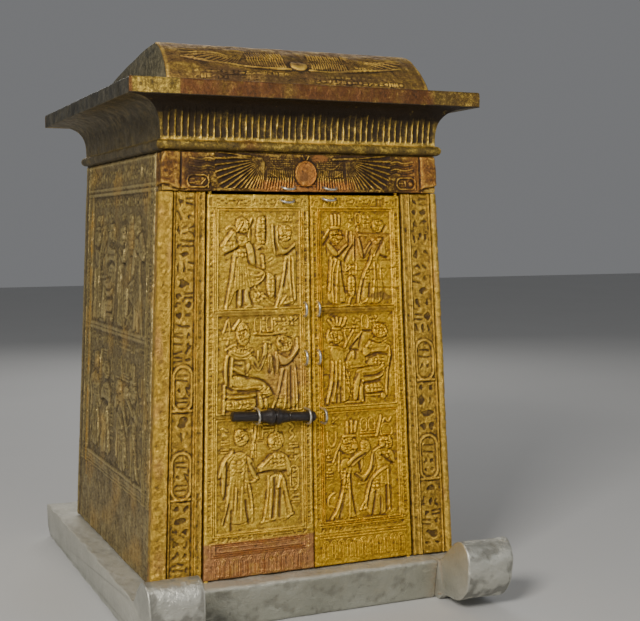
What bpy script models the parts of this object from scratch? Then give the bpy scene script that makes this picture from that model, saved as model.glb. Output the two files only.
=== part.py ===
"""A small gilded shrine with two doors, standing on a silver-covered sledge.

Units are metres, +Z is up and the doors face -Y. The origin is on the ground,
under the middle of the sledge. The body leans in towards the top, so its
pieces are first modelled upright and then leaned.
"""

import math

import bmesh
import bpy
from mathutils import Matrix, Vector

# Fits
REST_GAP = 0.0003
HOLE_CLEARANCE = 0.0004

# Whole shrine, from the ground to the roof's ridge
SHRINE_HEIGHT = 0.5055

# Sledge
SLEDGE_HEIGHT = 0.038
SLEDGE_SIDE_LEDGE = 0.0235
SLEDGE_BACK_LEDGE = 0.064
RUNNER_WIDTH = 0.048
RUNNER_UNDERCUT = 0.0035
TIP_RISE = 0.0265
TIP_REACH = 0.055
TIP_LIFT = 0.0066
TIP_TOP_RADIUS = 0.0173
TIP_UNDER_RADIUS = 0.0294
BEAM_DEPTH = 0.040
BEAM_LEAN = 0.006
DECK_THICKNESS = 0.012

# Body
BODY_WIDTH = 0.291
BODY_DEPTH = 0.294
BODY_SETBACK = 0.019
SIDE_LEAN = 0.016
FRONT_LEAN = 0.009
BACK_LEAN = 0.005
WALL_THICKNESS = 0.014
FLOOR_THICKNESS = 0.008
CORNER_BEAD_WIDTH = 0.013
CORNER_BEAD_PROUD = 0.0022
LINTEL_HEIGHT = 0.033
LINTEL_PROUD = 0.003

# Door opening and doors
OPENING_WIDTH = 0.207
OPENING_OFFSET = 0.0021
DOOR_THICKNESS = 0.010
DOOR_SIDE_GAP = 0.0017
DOOR_TOP_GAP = 0.0025
DOOR_FOOT_GAP = 0.0012
MEETING_GAP = 0.0010
MEETING_OFFSET = 0.0030
HINGE_INSET = 0.003
PIVOT_RADIUS = 0.002
PIVOT_DEPTH = 0.004

# Carving on the doors, jambs and walls
FIELD_DEPTH = 0.0006
FIGURE_PROUD = 0.0009
FIGURE_STEP = 0.00012
STROKE_PROUD = 0.0007
STROKE_WIDTH = 0.0016
DOOR_EDGE_COLUMN = 0.0118
DOOR_MEETING_COLUMN = 0.0112
DOOR_TOP_BAND = 0.0145
DOOR_FOOT_BAND = 0.040
PANEL_RAIL = 0.007
JAMB_BORDER = 0.0075
WALL_TOP_BAND = 0.033
WALL_DADO = 0.078
WALL_STRIP = 0.024
SUN_RADIUS = 0.011
FEATHER_LENGTH = 0.013
FEATHERS = 12
WING_SHARE = 0.56

# Cornice
TORUS_RADIUS = 0.0045
TORUS_OFFSET = 0.001
CAVETTO_HEIGHT = 0.0345
CAVETTO_CURVE = 3.0
SLAB_THICKNESS = 0.0135
OVERHANG_FRONT = 0.0265
OVERHANG_SIDE = 0.0335
OVERHANG_BACK = 0.054
RIB_PITCH = 0.00575
RIB_WIDTH = 0.0042
RIB_PROUD = 0.0012

# Roof
ROOF_WIDTH = 0.249
ROOF_TAPER = 0.003
ROOF_RISE = 0.0395
ROOF_FRONT_RUN = 0.047
ROOF_FRONT_CURVE = 1.45
ROOF_BACK_CURVE = 1.43
ROOF_FRONT_SETBACK = 0.0245
ROOF_BACK_SETBACK = 0.031

# Bolt
BOLT_LENGTH = 0.078
BOLT_RADIUS = 0.0043
BOLT_SWELL_RADIUS = 0.0075
BOLT_NECK_RADIUS = 0.0056
BOLT_KNOB_RADIUS = 0.0048
BOLT_STANDOFF = 0.0080
BOLT_DROOP = 0.064
BOLT_DROP = 0.1928
BOLT_END_SETBACK = 0.0007

# Staples
WIRE_RADIUS = 0.0011
STAPLE_SPAN = 0.0122
STAPLE_RISE = 0.0055
STAPLE_LEG = 0.005
STAPLE_SAG = 0.45
BOLT_PLAY = 0.0005

# Staples that the cords of the seals went round
SEAL_LEFT_X = -0.0170
SEAL_RIGHT_X = 0.0230
LINTEL_STAPLE_RISE = 0.0040
LEFT_TOP_STAPLE_DROP = 0.0049
RIGHT_TOP_STAPLE_DROP = 0.0030
UPPER_STAPLE_DROP = 0.1010
LOWER_STAPLE_DROP = 0.1440
LEFT_STAPLE_INSET = 0.0068
RIGHT_STAPLE_INSET = 0.0058
LEFT_STAPLE_SHARE = 0.300
RIGHT_STAPLE_SHARE = 0.915
KEEPER_INSET = 0.0072

# Values that follow from the sizes above
CORNICE_FOOT = 0.0007
CORNICE_HEIGHT = CORNICE_FOOT + 2 * TORUS_RADIUS + CAVETTO_HEIGHT + SLAB_THICKNESS
BODY_HEIGHT = SHRINE_HEIGHT - SLEDGE_HEIGHT - CORNICE_HEIGHT - ROOF_RISE - 2 * REST_GAP
SLEDGE_WIDTH = BODY_WIDTH + 2 * SLEDGE_SIDE_LEDGE
SLEDGE_LENGTH = TIP_REACH + BODY_SETBACK + BODY_DEPTH + SLEDGE_BACK_LEDGE
DECK_Z = SLEDGE_HEIGHT
BODY_TOP_Z = DECK_Z + BODY_HEIGHT
SLEDGE_FRONT_Y = -SLEDGE_LENGTH / 2
SLEDGE_BACK_Y = SLEDGE_LENGTH / 2
BEAM_FRONT_Y = SLEDGE_FRONT_Y + TIP_REACH
FRONT_Y = BEAM_FRONT_Y + BODY_SETBACK
BACK_Y = FRONT_Y + BODY_DEPTH
HALF_BODY = BODY_WIDTH / 2
LINTEL_Z = BODY_TOP_Z - LINTEL_HEIGHT
OPENING_LEFT = OPENING_OFFSET - OPENING_WIDTH / 2
OPENING_RIGHT = OPENING_OFFSET + OPENING_WIDTH / 2
MEETING_X = OPENING_OFFSET + MEETING_OFFSET
DOOR_TOP_Z = LINTEL_Z - DOOR_TOP_GAP
DOOR_FOOT_Z = DECK_Z + DOOR_FOOT_GAP
BOLT_HEIGHT = DOOR_TOP_Z - BOLT_DROP
CORNICE_Z = BODY_TOP_Z + REST_GAP
TORUS_Z = CORNICE_Z + CORNICE_FOOT
CAVETTO_Z = TORUS_Z + 2 * TORUS_RADIUS
SLAB_Z = CAVETTO_Z + CAVETTO_HEIGHT
ROOF_Z = SLAB_Z + SLAB_THICKNESS + REST_GAP

GOLD = ("sheet_gold", (0.60, 0.40, 0.10), 0.38, 1.0)
SILVER = ("sheet_silver", (0.55, 0.54, 0.48), 0.42, 1.0)
EBONY = ("ebony", (0.02, 0.018, 0.016), 0.35, 0.0)


def clear_scene():
    """Remove whatever the file holds, so that the script can run again."""
    for old in list(bpy.data.objects):
        bpy.data.objects.remove(old)


def collection(name):
    """Return a new collection in the scene."""
    group = bpy.data.collections.new(name)
    bpy.context.scene.collection.children.link(group)
    return group


def finish_material(name, finish):
    """Return a Principled material of one finish for one piece."""
    material = bpy.data.materials.new(f"{name}_{finish[0]}")
    material.use_nodes = True
    shader = material.node_tree.nodes["Principled BSDF"]
    shader.inputs["Base Color"].default_value = (*finish[1], 1.0)
    shader.inputs["Roughness"].default_value = finish[2]
    shader.inputs["Metallic"].default_value = finish[3]
    return material


def piece(name, bm, finish, group):
    """Make a named object from a bmesh, with its faces pointing out."""
    bmesh.ops.recalc_face_normals(bm, faces=bm.faces)
    mesh = bpy.data.meshes.new(name)
    bm.to_mesh(mesh)
    bm.free()
    made = bpy.data.objects.new(name, mesh)
    made.data.materials.append(finish_material(name, finish))
    group.objects.link(made)
    return made


def cutter(name, bm, group):
    """Make a hidden wire object that a Boolean modifier uses."""
    made = piece(name, bm, GOLD, group)
    made.display_type = "WIRE"
    made.hide_render = True
    return made


def combine(target, other, operation):
    """Add one exact Boolean to a piece and keep its result as the mesh."""
    modifier = target.modifiers.new(operation.lower(), "BOOLEAN")
    modifier.operation = operation
    modifier.object = other
    modifier.solver = "EXACT"
    modifier.use_self = True
    ready = target.evaluated_get(bpy.context.evaluated_depsgraph_get())
    mesh = bpy.data.meshes.new_from_object(ready)
    target.modifiers.clear()
    target.data = mesh


def loft(bm, rings):
    """Skin rings of equally many points into one closed body with two caps."""
    rows = [[bm.verts.new(point) for point in ring] for ring in rings]
    count = len(rows[0])
    for low, high in zip(rows, rows[1:]):
        for i in range(count):
            j = (i + 1) % count
            bm.faces.new((low[i], low[j], high[j], high[i]))
    bm.faces.new(rows[0][::-1])
    bm.faces.new(rows[-1])


def add_box(bm, low, high):
    """Add a box between two corners."""
    low, high = Vector(low), Vector(high)
    size = high - low
    place = Matrix.Translation((low + high) / 2) @ Matrix.Diagonal((*size, 1.0))
    bmesh.ops.create_cube(bm, size=1.0, matrix=place)


def add_rod(bm, start, end, radius, sides=12):
    """Add a closed round rod between two points."""
    start, end = Vector(start), Vector(end)
    turn = (end - start).to_track_quat("Z", "Y").to_matrix().to_4x4()
    bmesh.ops.create_cone(
        bm, cap_ends=True, segments=sides, radius1=radius, radius2=radius,
        depth=(end - start).length, matrix=Matrix.Translation((start + end) / 2) @ turn,
    )


def arc(centre, radius, start, end, steps):
    """Return points along an arc in a plane, angles in degrees."""
    angles = [math.radians(start + (end - start) * i / steps) for i in range(steps + 1)]
    return [(centre[0] + radius * math.cos(a), centre[1] + radius * math.sin(a)) for a in angles]


def rise_share(z):
    """Share of the body's height at z, from 0 at the deck to 1 at its top."""
    return (z - DECK_Z) / BODY_HEIGHT


def narrow(z):
    """How much narrower the body is at z than at its foot."""
    return 1.0 - SIDE_LEAN / HALF_BODY * rise_share(z)


def front_y(z):
    """Place of the body's front plane at z."""
    return FRONT_Y + FRONT_LEAN * rise_share(z)


def on_front(x, y, z):
    """Lean a point modelled on the upright front plane, where y = 0."""
    return Vector((x * narrow(z), front_y(z) + y, z))


def lean_front(made):
    """Lean a piece that was modelled against the upright front plane."""
    for vertex in made.data.vertices:
        vertex.co = on_front(*vertex.co)


def lean_back(made):
    """Lean a piece modelled with y = 0 on the back plane and +y inwards."""
    for vertex in made.data.vertices:
        x, y, z = vertex.co
        plane = BACK_Y - BACK_LEAN * rise_share(z)
        vertex.co = Vector((-x * narrow(z), plane - y, z))


def lean_side(made, side, length):
    """Lean a side wall modelled with x from 0 to its length and +y inwards.

    Seen from outside, x runs to the right. The left side has side = -1.
    """
    front = FRONT_Y + WALL_THICKNESS + REST_GAP
    for vertex in made.data.vertices:
        x, y, z = vertex.co
        along = x / length if side > 0 else 1.0 - x / length
        plane_y = front + along * length
        lean = FRONT_LEAN * (1.0 - along) - BACK_LEAN * along
        out = HALF_BODY - y - SIDE_LEAN * rise_share(z)
        vertex.co = Vector((side * out, plane_y + lean * rise_share(z), z))


def add_prism(bm, outline, proud):
    """Raise an outline in the xz plane off a surface at y = 0."""
    sunk = FIELD_DEPTH * 2
    loft(bm, [[(x, sunk, z) for x, z in outline], [(x, -proud, z) for x, z in outline]])


def limb(bm, start, end, width_start, width_end, proud):
    """Raise a straight tapering form, such as an arm, a robe or a feather."""
    start, end = Vector(start), Vector(end)
    along = (end - start).normalized()
    across = Vector((-along.y, along.x))
    outline = [
        start - across * width_start / 2,
        start + across * width_start / 2,
        end + across * width_end / 2,
        end - across * width_end / 2,
    ]
    add_prism(bm, outline, proud)


def oval(bm, centre, half_width, half_height, proud, sides=8):
    """Raise an oval, such as a head or a sun."""
    turns = [2 * math.pi * (i + 0.5) / sides for i in range(sides)]
    add_prism(
        bm,
        [(centre[0] + half_width * math.cos(t), centre[1] + half_height * math.sin(t)) for t in turns],
        proud,
    )


def ring_loop(bm, centre, half_width, half_height, rim, proud, steps=4):
    """Raise a long oval ring with round ends, such as one round a name."""
    straight = half_height - half_width

    def outline(radius):
        top = arc((centre[0], centre[1] + straight), radius, 0, 180, steps)
        return top + arc((centre[0], centre[1] - straight), radius, 180, 360, steps)

    loops = []
    for radius, y in ((half_width, FIELD_DEPTH * 2), (half_width, -proud),
                      (half_width - rim, -proud), (half_width - rim, FIELD_DEPTH * 2)):
        loops.append([bm.verts.new((x, y, z)) for x, z in outline(radius)])
    count = len(loops[0])
    for low, high in zip(loops, loops[1:] + loops[:1]):
        for i in range(count):
            j = (i + 1) % count
            bm.faces.new((low[i], low[j], high[j], high[i]))


class Figure:
    """A carved figure: its parts are placed by shares of its own height."""

    def __init__(self, bm, x, z, height, facing):
        self.bm, self.x, self.z, self.height, self.facing = bm, x, z, height, facing
        self.count = 0

    def at(self, across, up):
        return Vector((self.x + self.facing * across * self.height, self.z + up * self.height))

    def proud(self):
        self.count += 1
        return FIGURE_PROUD + FIGURE_STEP * (self.count % 5)

    def limb(self, start, end, width_start, width_end):
        size = self.height
        limb(self.bm, self.at(*start), self.at(*end), width_start * size, width_end * size, self.proud())

    def oval(self, centre, half_width, half_height):
        oval(self.bm, self.at(*centre), half_width * self.height, half_height * self.height, self.proud(), 7)


def standing_king(bm, x, z, height, facing, reach=0.62, feet=True):
    """A striding figure in a kilt and a rounded crown."""
    figure = Figure(bm, x, z, height, facing)
    figure.limb((-0.04, 0.0), (-0.03, 0.36), 0.05, 0.08)
    figure.limb((0.15, 0.0), (0.03, 0.36), 0.05, 0.08)
    if feet:
        figure.limb((-0.03, 0.012), (0.07, 0.012), 0.03, 0.02)
        figure.limb((0.16, 0.012), (0.26, 0.012), 0.03, 0.02)
    figure.limb((0.05, 0.26), (0.0, 0.56), 0.27, 0.12)
    figure.limb((0.0, 0.52), (0.0, 0.80), 0.11, 0.25)
    figure.oval((0.03, 0.86), 0.045, 0.052)
    figure.limb((0.01, 0.885), (-0.04, 0.995), 0.11, 0.08)
    figure.limb((0.10, 0.78), (0.17, 0.60), 0.055, 0.04)
    figure.limb((0.16, 0.60), (0.33, reach), 0.045, 0.03)
    figure.limb((-0.11, 0.79), (-0.15, 0.55), 0.055, 0.035)


def standing_queen(bm, x, z, height, facing):
    """A figure in a long spreading robe, with a tall crown of plumes."""
    figure = Figure(bm, x, z, height, facing)
    figure.limb((0.03, 0.015), (-0.01, 0.56), 0.34, 0.10)
    figure.limb((-0.01, 0.52), (0.0, 0.74), 0.10, 0.17)
    figure.oval((0.02, 0.79), 0.062, 0.072)
    figure.limb((0.0, 0.845), (0.0, 0.99), 0.08, 0.14)
    figure.limb((0.05, 0.69), (0.15, 0.57), 0.05, 0.04)
    figure.limb((0.14, 0.57), (0.30, 0.66), 0.04, 0.03)
    figure.limb((-0.06, 0.70), (-0.12, 0.50), 0.05, 0.03)


def seated_king(bm, x, z, height, facing, feet=True):
    """A figure on a chair with a low back, its feet on a footstool."""
    figure = Figure(bm, x, z, height, facing)
    figure.limb((-0.15, 0.02), (-0.15, 0.30), 0.30, 0.30)
    figure.limb((-0.33, 0.0), (-0.29, 0.47), 0.03, 0.04)
    figure.limb((-0.24, 0.36), (0.18, 0.34), 0.16, 0.12)
    figure.limb((0.17, 0.38), (0.20, 0.05), 0.10, 0.06)
    if feet:
        figure.limb((0.16, 0.045), (0.34, 0.045), 0.04, 0.03)
    figure.limb((-0.15, 0.36), (-0.14, 0.72), 0.15, 0.26)
    figure.oval((-0.11, 0.80), 0.05, 0.06)
    figure.limb((-0.13, 0.83), (-0.17, 0.97), 0.12, 0.09)
    figure.limb((-0.05, 0.69), (0.05, 0.50), 0.06, 0.045)
    figure.limb((0.04, 0.50), (0.24, 0.58), 0.045, 0.03)
    figure.limb((-0.25, 0.69), (-0.29, 0.50), 0.06, 0.04)


def offering_stand(bm, x, z, height):
    """A tall stand heaped with offerings, between two figures."""
    limb(bm, (x, z), (x, z + 0.62 * height), 0.22 * height, 0.08 * height, FIGURE_PROUD)
    oval(bm, (x, z + 0.74 * height), 0.15 * height, 0.20 * height, FIGURE_PROUD + FIGURE_STEP, 8)


def stroke(bm, start, end, width=STROKE_WIDTH):
    """Raise one short bar of an inscription."""
    limb(bm, start, end, width, width, STROKE_PROUD)


def inscription(bm, x_low, x_high, z_low, z_high, rows, first=0):
    """Fill an upright column with rows of strokes that aren't letters."""
    step = (z_high - z_low) / rows
    middle = (x_low + x_high) / 2
    reach = (x_high - x_low) * 0.36
    for row in range(rows):
        z = z_high - (row + 0.5) * step
        kind = (row + first) % 5
        half = min(step * 0.30, reach)
        if kind in (0, 3):
            stroke(bm, (middle - reach, z), (middle + reach, z))
        elif kind == 1:
            for share in (-0.8, 0.0, 0.8):
                stroke(bm, (middle + share * reach, z - half), (middle + share * reach, z + half))
        elif kind == 2:
            oval(bm, (middle, z), reach * 0.75, half, STROKE_PROUD, 7)
        else:
            stroke(bm, (middle - reach, z - half), (middle + reach, z + half))


def make_runner(side, group):
    """One runner: a squared bar whose front end turns up in a rounded tip."""
    top_z = SLEDGE_HEIGHT + TIP_RISE
    tip = (SLEDGE_FRONT_Y + TIP_TOP_RADIUS, top_z - TIP_TOP_RADIUS)
    under = (SLEDGE_FRONT_Y + TIP_UNDER_RADIUS, TIP_LIFT + TIP_UNDER_RADIUS)
    outline = [(SLEDGE_BACK_Y, 0.0), (SLEDGE_BACK_Y, SLEDGE_HEIGHT), (BEAM_FRONT_Y, SLEDGE_HEIGHT)]
    outline += arc(tip, TIP_TOP_RADIUS, 47, 180, 8)
    outline += arc(under, TIP_UNDER_RADIUS, 180, 270, 7)
    outline += [(BEAM_FRONT_Y - 1.5 * TIP_LIFT, TIP_LIFT), (BEAM_FRONT_Y, 0.0)]
    inner = SLEDGE_WIDTH / 2 - RUNNER_WIDTH

    def outer(z):
        return SLEDGE_WIDTH / 2 - RUNNER_UNDERCUT * (1.0 - z / top_z)

    bm = bmesh.new()
    loft(bm, [[(side * inner, y, z) for y, z in outline], [(side * outer(z), y, z) for y, z in outline]])
    return piece("runner_left" if side < 0 else "runner_right", bm, SILVER, group)


def make_sledge(group, cutters):
    """The runners, two cross-beams and the deck that the body stands on."""
    make_runner(-1, group)
    make_runner(1, group)
    half = SLEDGE_WIDTH / 2 - RUNNER_WIDTH - REST_GAP
    front_back = BEAM_FRONT_Y + BEAM_DEPTH
    bm = bmesh.new()
    section = [(BEAM_FRONT_Y + BEAM_LEAN, 0.0), (front_back, 0.0),
               (front_back, SLEDGE_HEIGHT), (BEAM_FRONT_Y, SLEDGE_HEIGHT)]
    loft(bm, [[(x, y, z) for y, z in section] for x in (-half, half)])
    front_beam = piece("sledge_front_beam", bm, SILVER, group)
    bm = bmesh.new()
    for side in (-1, 1):
        foot = hinge_point(side, DECK_Z - PIVOT_DEPTH - HOLE_CLEARANCE)
        add_rod(bm, foot, hinge_point(side, DECK_Z + PIVOT_DEPTH), PIVOT_RADIUS + HOLE_CLEARANCE)
    combine(front_beam, cutter("cut_foot_sockets", bm, cutters), "DIFFERENCE")

    bm = bmesh.new()
    back_front = SLEDGE_BACK_Y - BEAM_DEPTH
    add_box(bm, (-half, back_front, 0.0), (half, SLEDGE_BACK_Y, SLEDGE_HEIGHT))
    piece("sledge_back_beam", bm, SILVER, group)
    bm = bmesh.new()
    add_box(
        bm, (-half, front_back + REST_GAP, SLEDGE_HEIGHT - DECK_THICKNESS),
        (half, back_front - REST_GAP, SLEDGE_HEIGHT),
    )
    piece("sledge_deck", bm, SILVER, group)


def hinge_x(side):
    """Place of a door's pivot line on the upright front plane."""
    edge = OPENING_LEFT + DOOR_SIDE_GAP if side < 0 else OPENING_RIGHT - DOOR_SIDE_GAP
    return edge - side * HINGE_INSET


def hinge_point(side, z):
    """A point on a door's pivot line, which leans as the door's edge does."""
    return on_front(hinge_x(side), HINGE_INSET, z)


def make_jamb(side, group):
    """The upright beside the doors, with a bead on the shrine's corner."""
    opening = OPENING_LEFT if side < 0 else OPENING_RIGHT
    outer = side * HALF_BODY
    low_z, high_z = DECK_Z + REST_GAP, LINTEL_Z - REST_GAP
    bm = bmesh.new()
    add_box(
        bm, (min(opening, outer), 0.0, low_z), (max(opening, outer), WALL_THICKNESS, high_z)
    )
    jamb = piece("jamb_left" if side < 0 else "jamb_right", bm, GOLD, group)

    bm = bmesh.new()
    bead_inner = outer - side * CORNER_BEAD_WIDTH
    round_points = [
        (bead_inner, FIELD_DEPTH), (bead_inner + side * 0.002, -CORNER_BEAD_PROUD * 0.7),
        ((bead_inner + outer) / 2, -CORNER_BEAD_PROUD), (outer - side * 0.002, -CORNER_BEAD_PROUD * 0.7),
        (outer - side * REST_GAP, FIELD_DEPTH),
    ]
    margin = REST_GAP
    loft(bm, [[(x, y, z) for x, y in round_points] for z in (low_z + margin, high_z - margin)])
    border = (opening + side * 0.0006, opening + side * JAMB_BORDER)
    add_prism(bm, [(border[0], low_z + margin), (border[1], low_z + margin),
                   (border[1], high_z - margin), (border[0], high_z - margin)], STROKE_PROUD * 1.3)
    column = sorted((border[1] + side * 0.0015, bead_inner - side * 0.0015))
    rows_top, rows_foot = high_z - 0.004, low_z + 0.010
    height = rows_top - rows_foot
    middle = (column[0] + column[1]) / 2
    half_ring = (column[1] - column[0]) * 0.36
    rings = ((0.198, 0.322), (0.434, 0.552)) if side < 0 else ((0.188, 0.316), (0.477, 0.592))
    spaces = ((0.0, rings[0][0] - 0.01), (rings[0][1] + 0.01, rings[1][0] - 0.01), (rings[1][1] + 0.01, 1.0))
    for number, (start, end) in enumerate(spaces):
        rows = round((end - start) * 18)
        inscription(bm, *column, rows_foot + start * height, rows_foot + end * height, rows, number)
    for start, end in rings:
        centre = (middle, rows_foot + (start + end) / 2 * height)
        ring_loop(bm, centre, half_ring, (end - start) / 2 * height, half_ring * 0.28, STROKE_PROUD)
        for share in (-0.45, 0.0, 0.45):
            z = centre[1] + share * (end - start) * height
            stroke(bm, (middle - half_ring * 0.45, z), (middle + half_ring * 0.45, z + 0.001))
    combine(jamb, cutter(f"carving_{jamb.name}", bm, group_of_cutters()), "UNION")
    lean_front(jamb)
    return jamb


def group_of_cutters():
    """The collection that holds everything a Boolean modifier uses."""
    return bpy.data.collections["cutters"]


def make_lintel(group, cutters):
    """The beam over the doors, with a sun between two outspread wings."""
    low_z, high_z = LINTEL_Z, BODY_TOP_Z
    bm = bmesh.new()
    add_box(bm, (-HALF_BODY, -LINTEL_PROUD, low_z), (HALF_BODY, WALL_THICKNESS, high_z))
    lintel = piece("lintel", bm, GOLD, group)

    bm = bmesh.new()
    middle_z = low_z + LINTEL_HEIGHT * 0.56
    oval(bm, (0.0, middle_z), SUN_RADIUS, SUN_RADIUS, LINTEL_PROUD + 0.0016, 12)
    span = HALF_BODY * WING_SHARE
    for side in (-1, 1):
        for number in range(FEATHERS):
            share = number / (FEATHERS - 1)
            x = side * (SUN_RADIUS * 1.25 + share * span)
            fan = side * (0.10 + 0.75 * share)
            length = FEATHER_LENGTH * (1.0 + 0.35 * share)
            root = Vector((x, middle_z + 0.004))
            tip = root + Vector((math.sin(fan), -math.cos(fan))) * length
            proud = LINTEL_PROUD + STROKE_PROUD + FIGURE_STEP * (number % 2)
            limb(bm, root, tip, STROKE_WIDTH * 1.3, STROKE_WIDTH * 2.2, proud)
        limb(bm, (side * SUN_RADIUS * 0.9, middle_z + 0.006), (side * (SUN_RADIUS * 1.3 + span), middle_z + 0.0075),
             0.006, 0.0045, LINTEL_PROUD + STROKE_PROUD * 2)
    combine(lintel, cutter("carving_lintel", bm, cutters), "UNION")
    lean_front(lintel)

    bm = bmesh.new()
    for side in (-1, 1):
        start = hinge_point(side, LINTEL_Z - PIVOT_DEPTH)
        end = hinge_point(side, LINTEL_Z + PIVOT_DEPTH + HOLE_CLEARANCE)
        add_rod(bm, start, end, PIVOT_RADIUS + HOLE_CLEARANCE)
    combine(lintel, cutter("cut_head_sockets", bm, cutters), "DIFFERENCE")
    return lintel


def wall_panels(bm_cut, width, low_z, high_z):
    """Sink two picture fields into a wall, and return them as (z low, z high)."""
    top = high_z - WALL_TOP_BAND
    foot = low_z + WALL_DADO
    half = (top - foot - PANEL_RAIL) / 2
    fields = [(foot, foot + half), (top - half, top)]
    for low, high in fields:
        add_box(bm_cut, (WALL_STRIP, -FIELD_DEPTH, low), (width - WALL_STRIP, FIELD_DEPTH, high))
    return fields


def make_wall(name, width, low_z, high_z, group, cutters):
    """A plain wall board with two sunk fields, each with a pair of figures."""
    bm = bmesh.new()
    add_box(bm, (0.0, 0.0, low_z), (width, WALL_THICKNESS, high_z))
    wall = piece(name, bm, GOLD, group)
    bm = bmesh.new()
    fields = wall_panels(bm, width, low_z, high_z)
    combine(wall, cutter(f"fields_{name}", bm, cutters), "DIFFERENCE")
    bm = bmesh.new()
    for number, (low, high) in enumerate(fields):
        size = (high - low) * 0.84
        foot = low + (high - low) * 0.03
        if number:
            seated_king(bm, width * 0.36, foot, size, 1, feet=False)
        else:
            standing_king(bm, width * 0.36, foot, size, 1, feet=False)
        standing_queen(bm, width * 0.66, foot, size, -1)
    combine(wall, cutter(f"carving_{name}", bm, cutters), "UNION")
    return wall


def make_body(group, cutters):
    """The walls, the floor board, the jambs and the lintel."""
    low_z, high_z = DECK_Z + REST_GAP, BODY_TOP_Z
    back_front = BACK_Y - WALL_THICKNESS - REST_GAP
    side_length = back_front - (FRONT_Y + WALL_THICKNESS + REST_GAP)
    for side, name in ((-1, "wall_left"), (1, "wall_right")):
        wall = make_wall(name, side_length, low_z, high_z, group, cutters)
        lean_side(wall, side, side_length)
    bm = bmesh.new()
    add_box(bm, (-HALF_BODY, 0.0, low_z), (HALF_BODY, WALL_THICKNESS, high_z))
    wall = piece("wall_back", bm, GOLD, group)
    bm = bmesh.new()
    fields = wall_panels(bm, BODY_WIDTH, low_z, high_z)
    bmesh.ops.translate(bm, verts=bm.verts, vec=(-HALF_BODY, 0.0, 0.0))
    combine(wall, cutter("fields_wall_back", bm, cutters), "DIFFERENCE")
    bm = bmesh.new()
    for number, (low, high) in enumerate(fields):
        size = (high - low) * 0.84
        foot = low + (high - low) * 0.03
        if number:
            standing_king(bm, -HALF_BODY * 0.28, foot, size, 1, feet=False)
        standing_queen(bm, HALF_BODY * 0.30, foot, size, -1)
    combine(wall, cutter("carving_wall_back", bm, cutters), "UNION")
    lean_back(wall)

    top = low_z + FLOOR_THICKNESS
    half = HALF_BODY * narrow(top) - WALL_THICKNESS - REST_GAP
    lean = FRONT_LEAN * rise_share(top)
    bm = bmesh.new()
    add_box(
        bm, (-half, FRONT_Y + WALL_THICKNESS + REST_GAP + lean, low_z),
        (half, back_front - BACK_LEAN * rise_share(top), top),
    )
    piece("floor_board", bm, GOLD, group)
    make_jamb(-1, group)
    make_jamb(1, group)
    make_lintel(group, cutters)


def door_panels(side):
    """The three picture fields of a door: x low, x high and the z limits."""
    hinge_edge = hinge_x(side) + side * HINGE_INSET
    meeting = MEETING_X + side * MEETING_GAP / 2
    outer = hinge_edge - side * DOOR_EDGE_COLUMN
    inner = meeting + side * DOOR_MEETING_COLUMN
    foot = DOOR_FOOT_Z + DOOR_FOOT_BAND
    top = DOOR_TOP_Z - DOOR_TOP_BAND
    room = top - foot - 2 * PANEL_RAIL
    heights = [room * share for share in (0.368, 0.316, 0.316)]
    limits = []
    for height in heights:
        limits.append((foot, foot + height))
        foot += height + PANEL_RAIL
    return min(outer, inner), max(outer, inner), limits


def door_scenes(bm, side, left, right, limits):
    """The pairs of figures in a door's three fields, lowest field first."""
    width = right - left
    for number, (low, high) in enumerate(limits):
        size = (high - low) * 0.86
        foot = low + 0.002
        first, second = left + width * 0.27, left + width * 0.73
        if side < 0:
            if number == 1:
                seated_king(bm, left + width * 0.34, foot, size, 1)
                standing_queen(bm, left + width * 0.80, foot, size, -1)
            elif number == 0:
                standing_queen(bm, first, foot, size * 0.94, 1)
                standing_king(bm, second, foot, size * 0.92, -1)
            else:
                standing_king(bm, first, foot, size, 1, 0.70)
                offering_stand(bm, left + width * 0.56, foot, size * 0.62)
                standing_queen(bm, left + width * 0.84, foot, size, -1)
        elif number == 1:
            standing_queen(bm, left + width * 0.22, foot, size, 1)
            seated_king(bm, left + width * 0.66, foot, size, -1)
        else:
            standing_queen(bm, left + width * 0.26, foot, size * 0.97, 1)
            standing_king(bm, left + width * 0.68, foot, size * 0.94, -1, 0.66)


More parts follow.
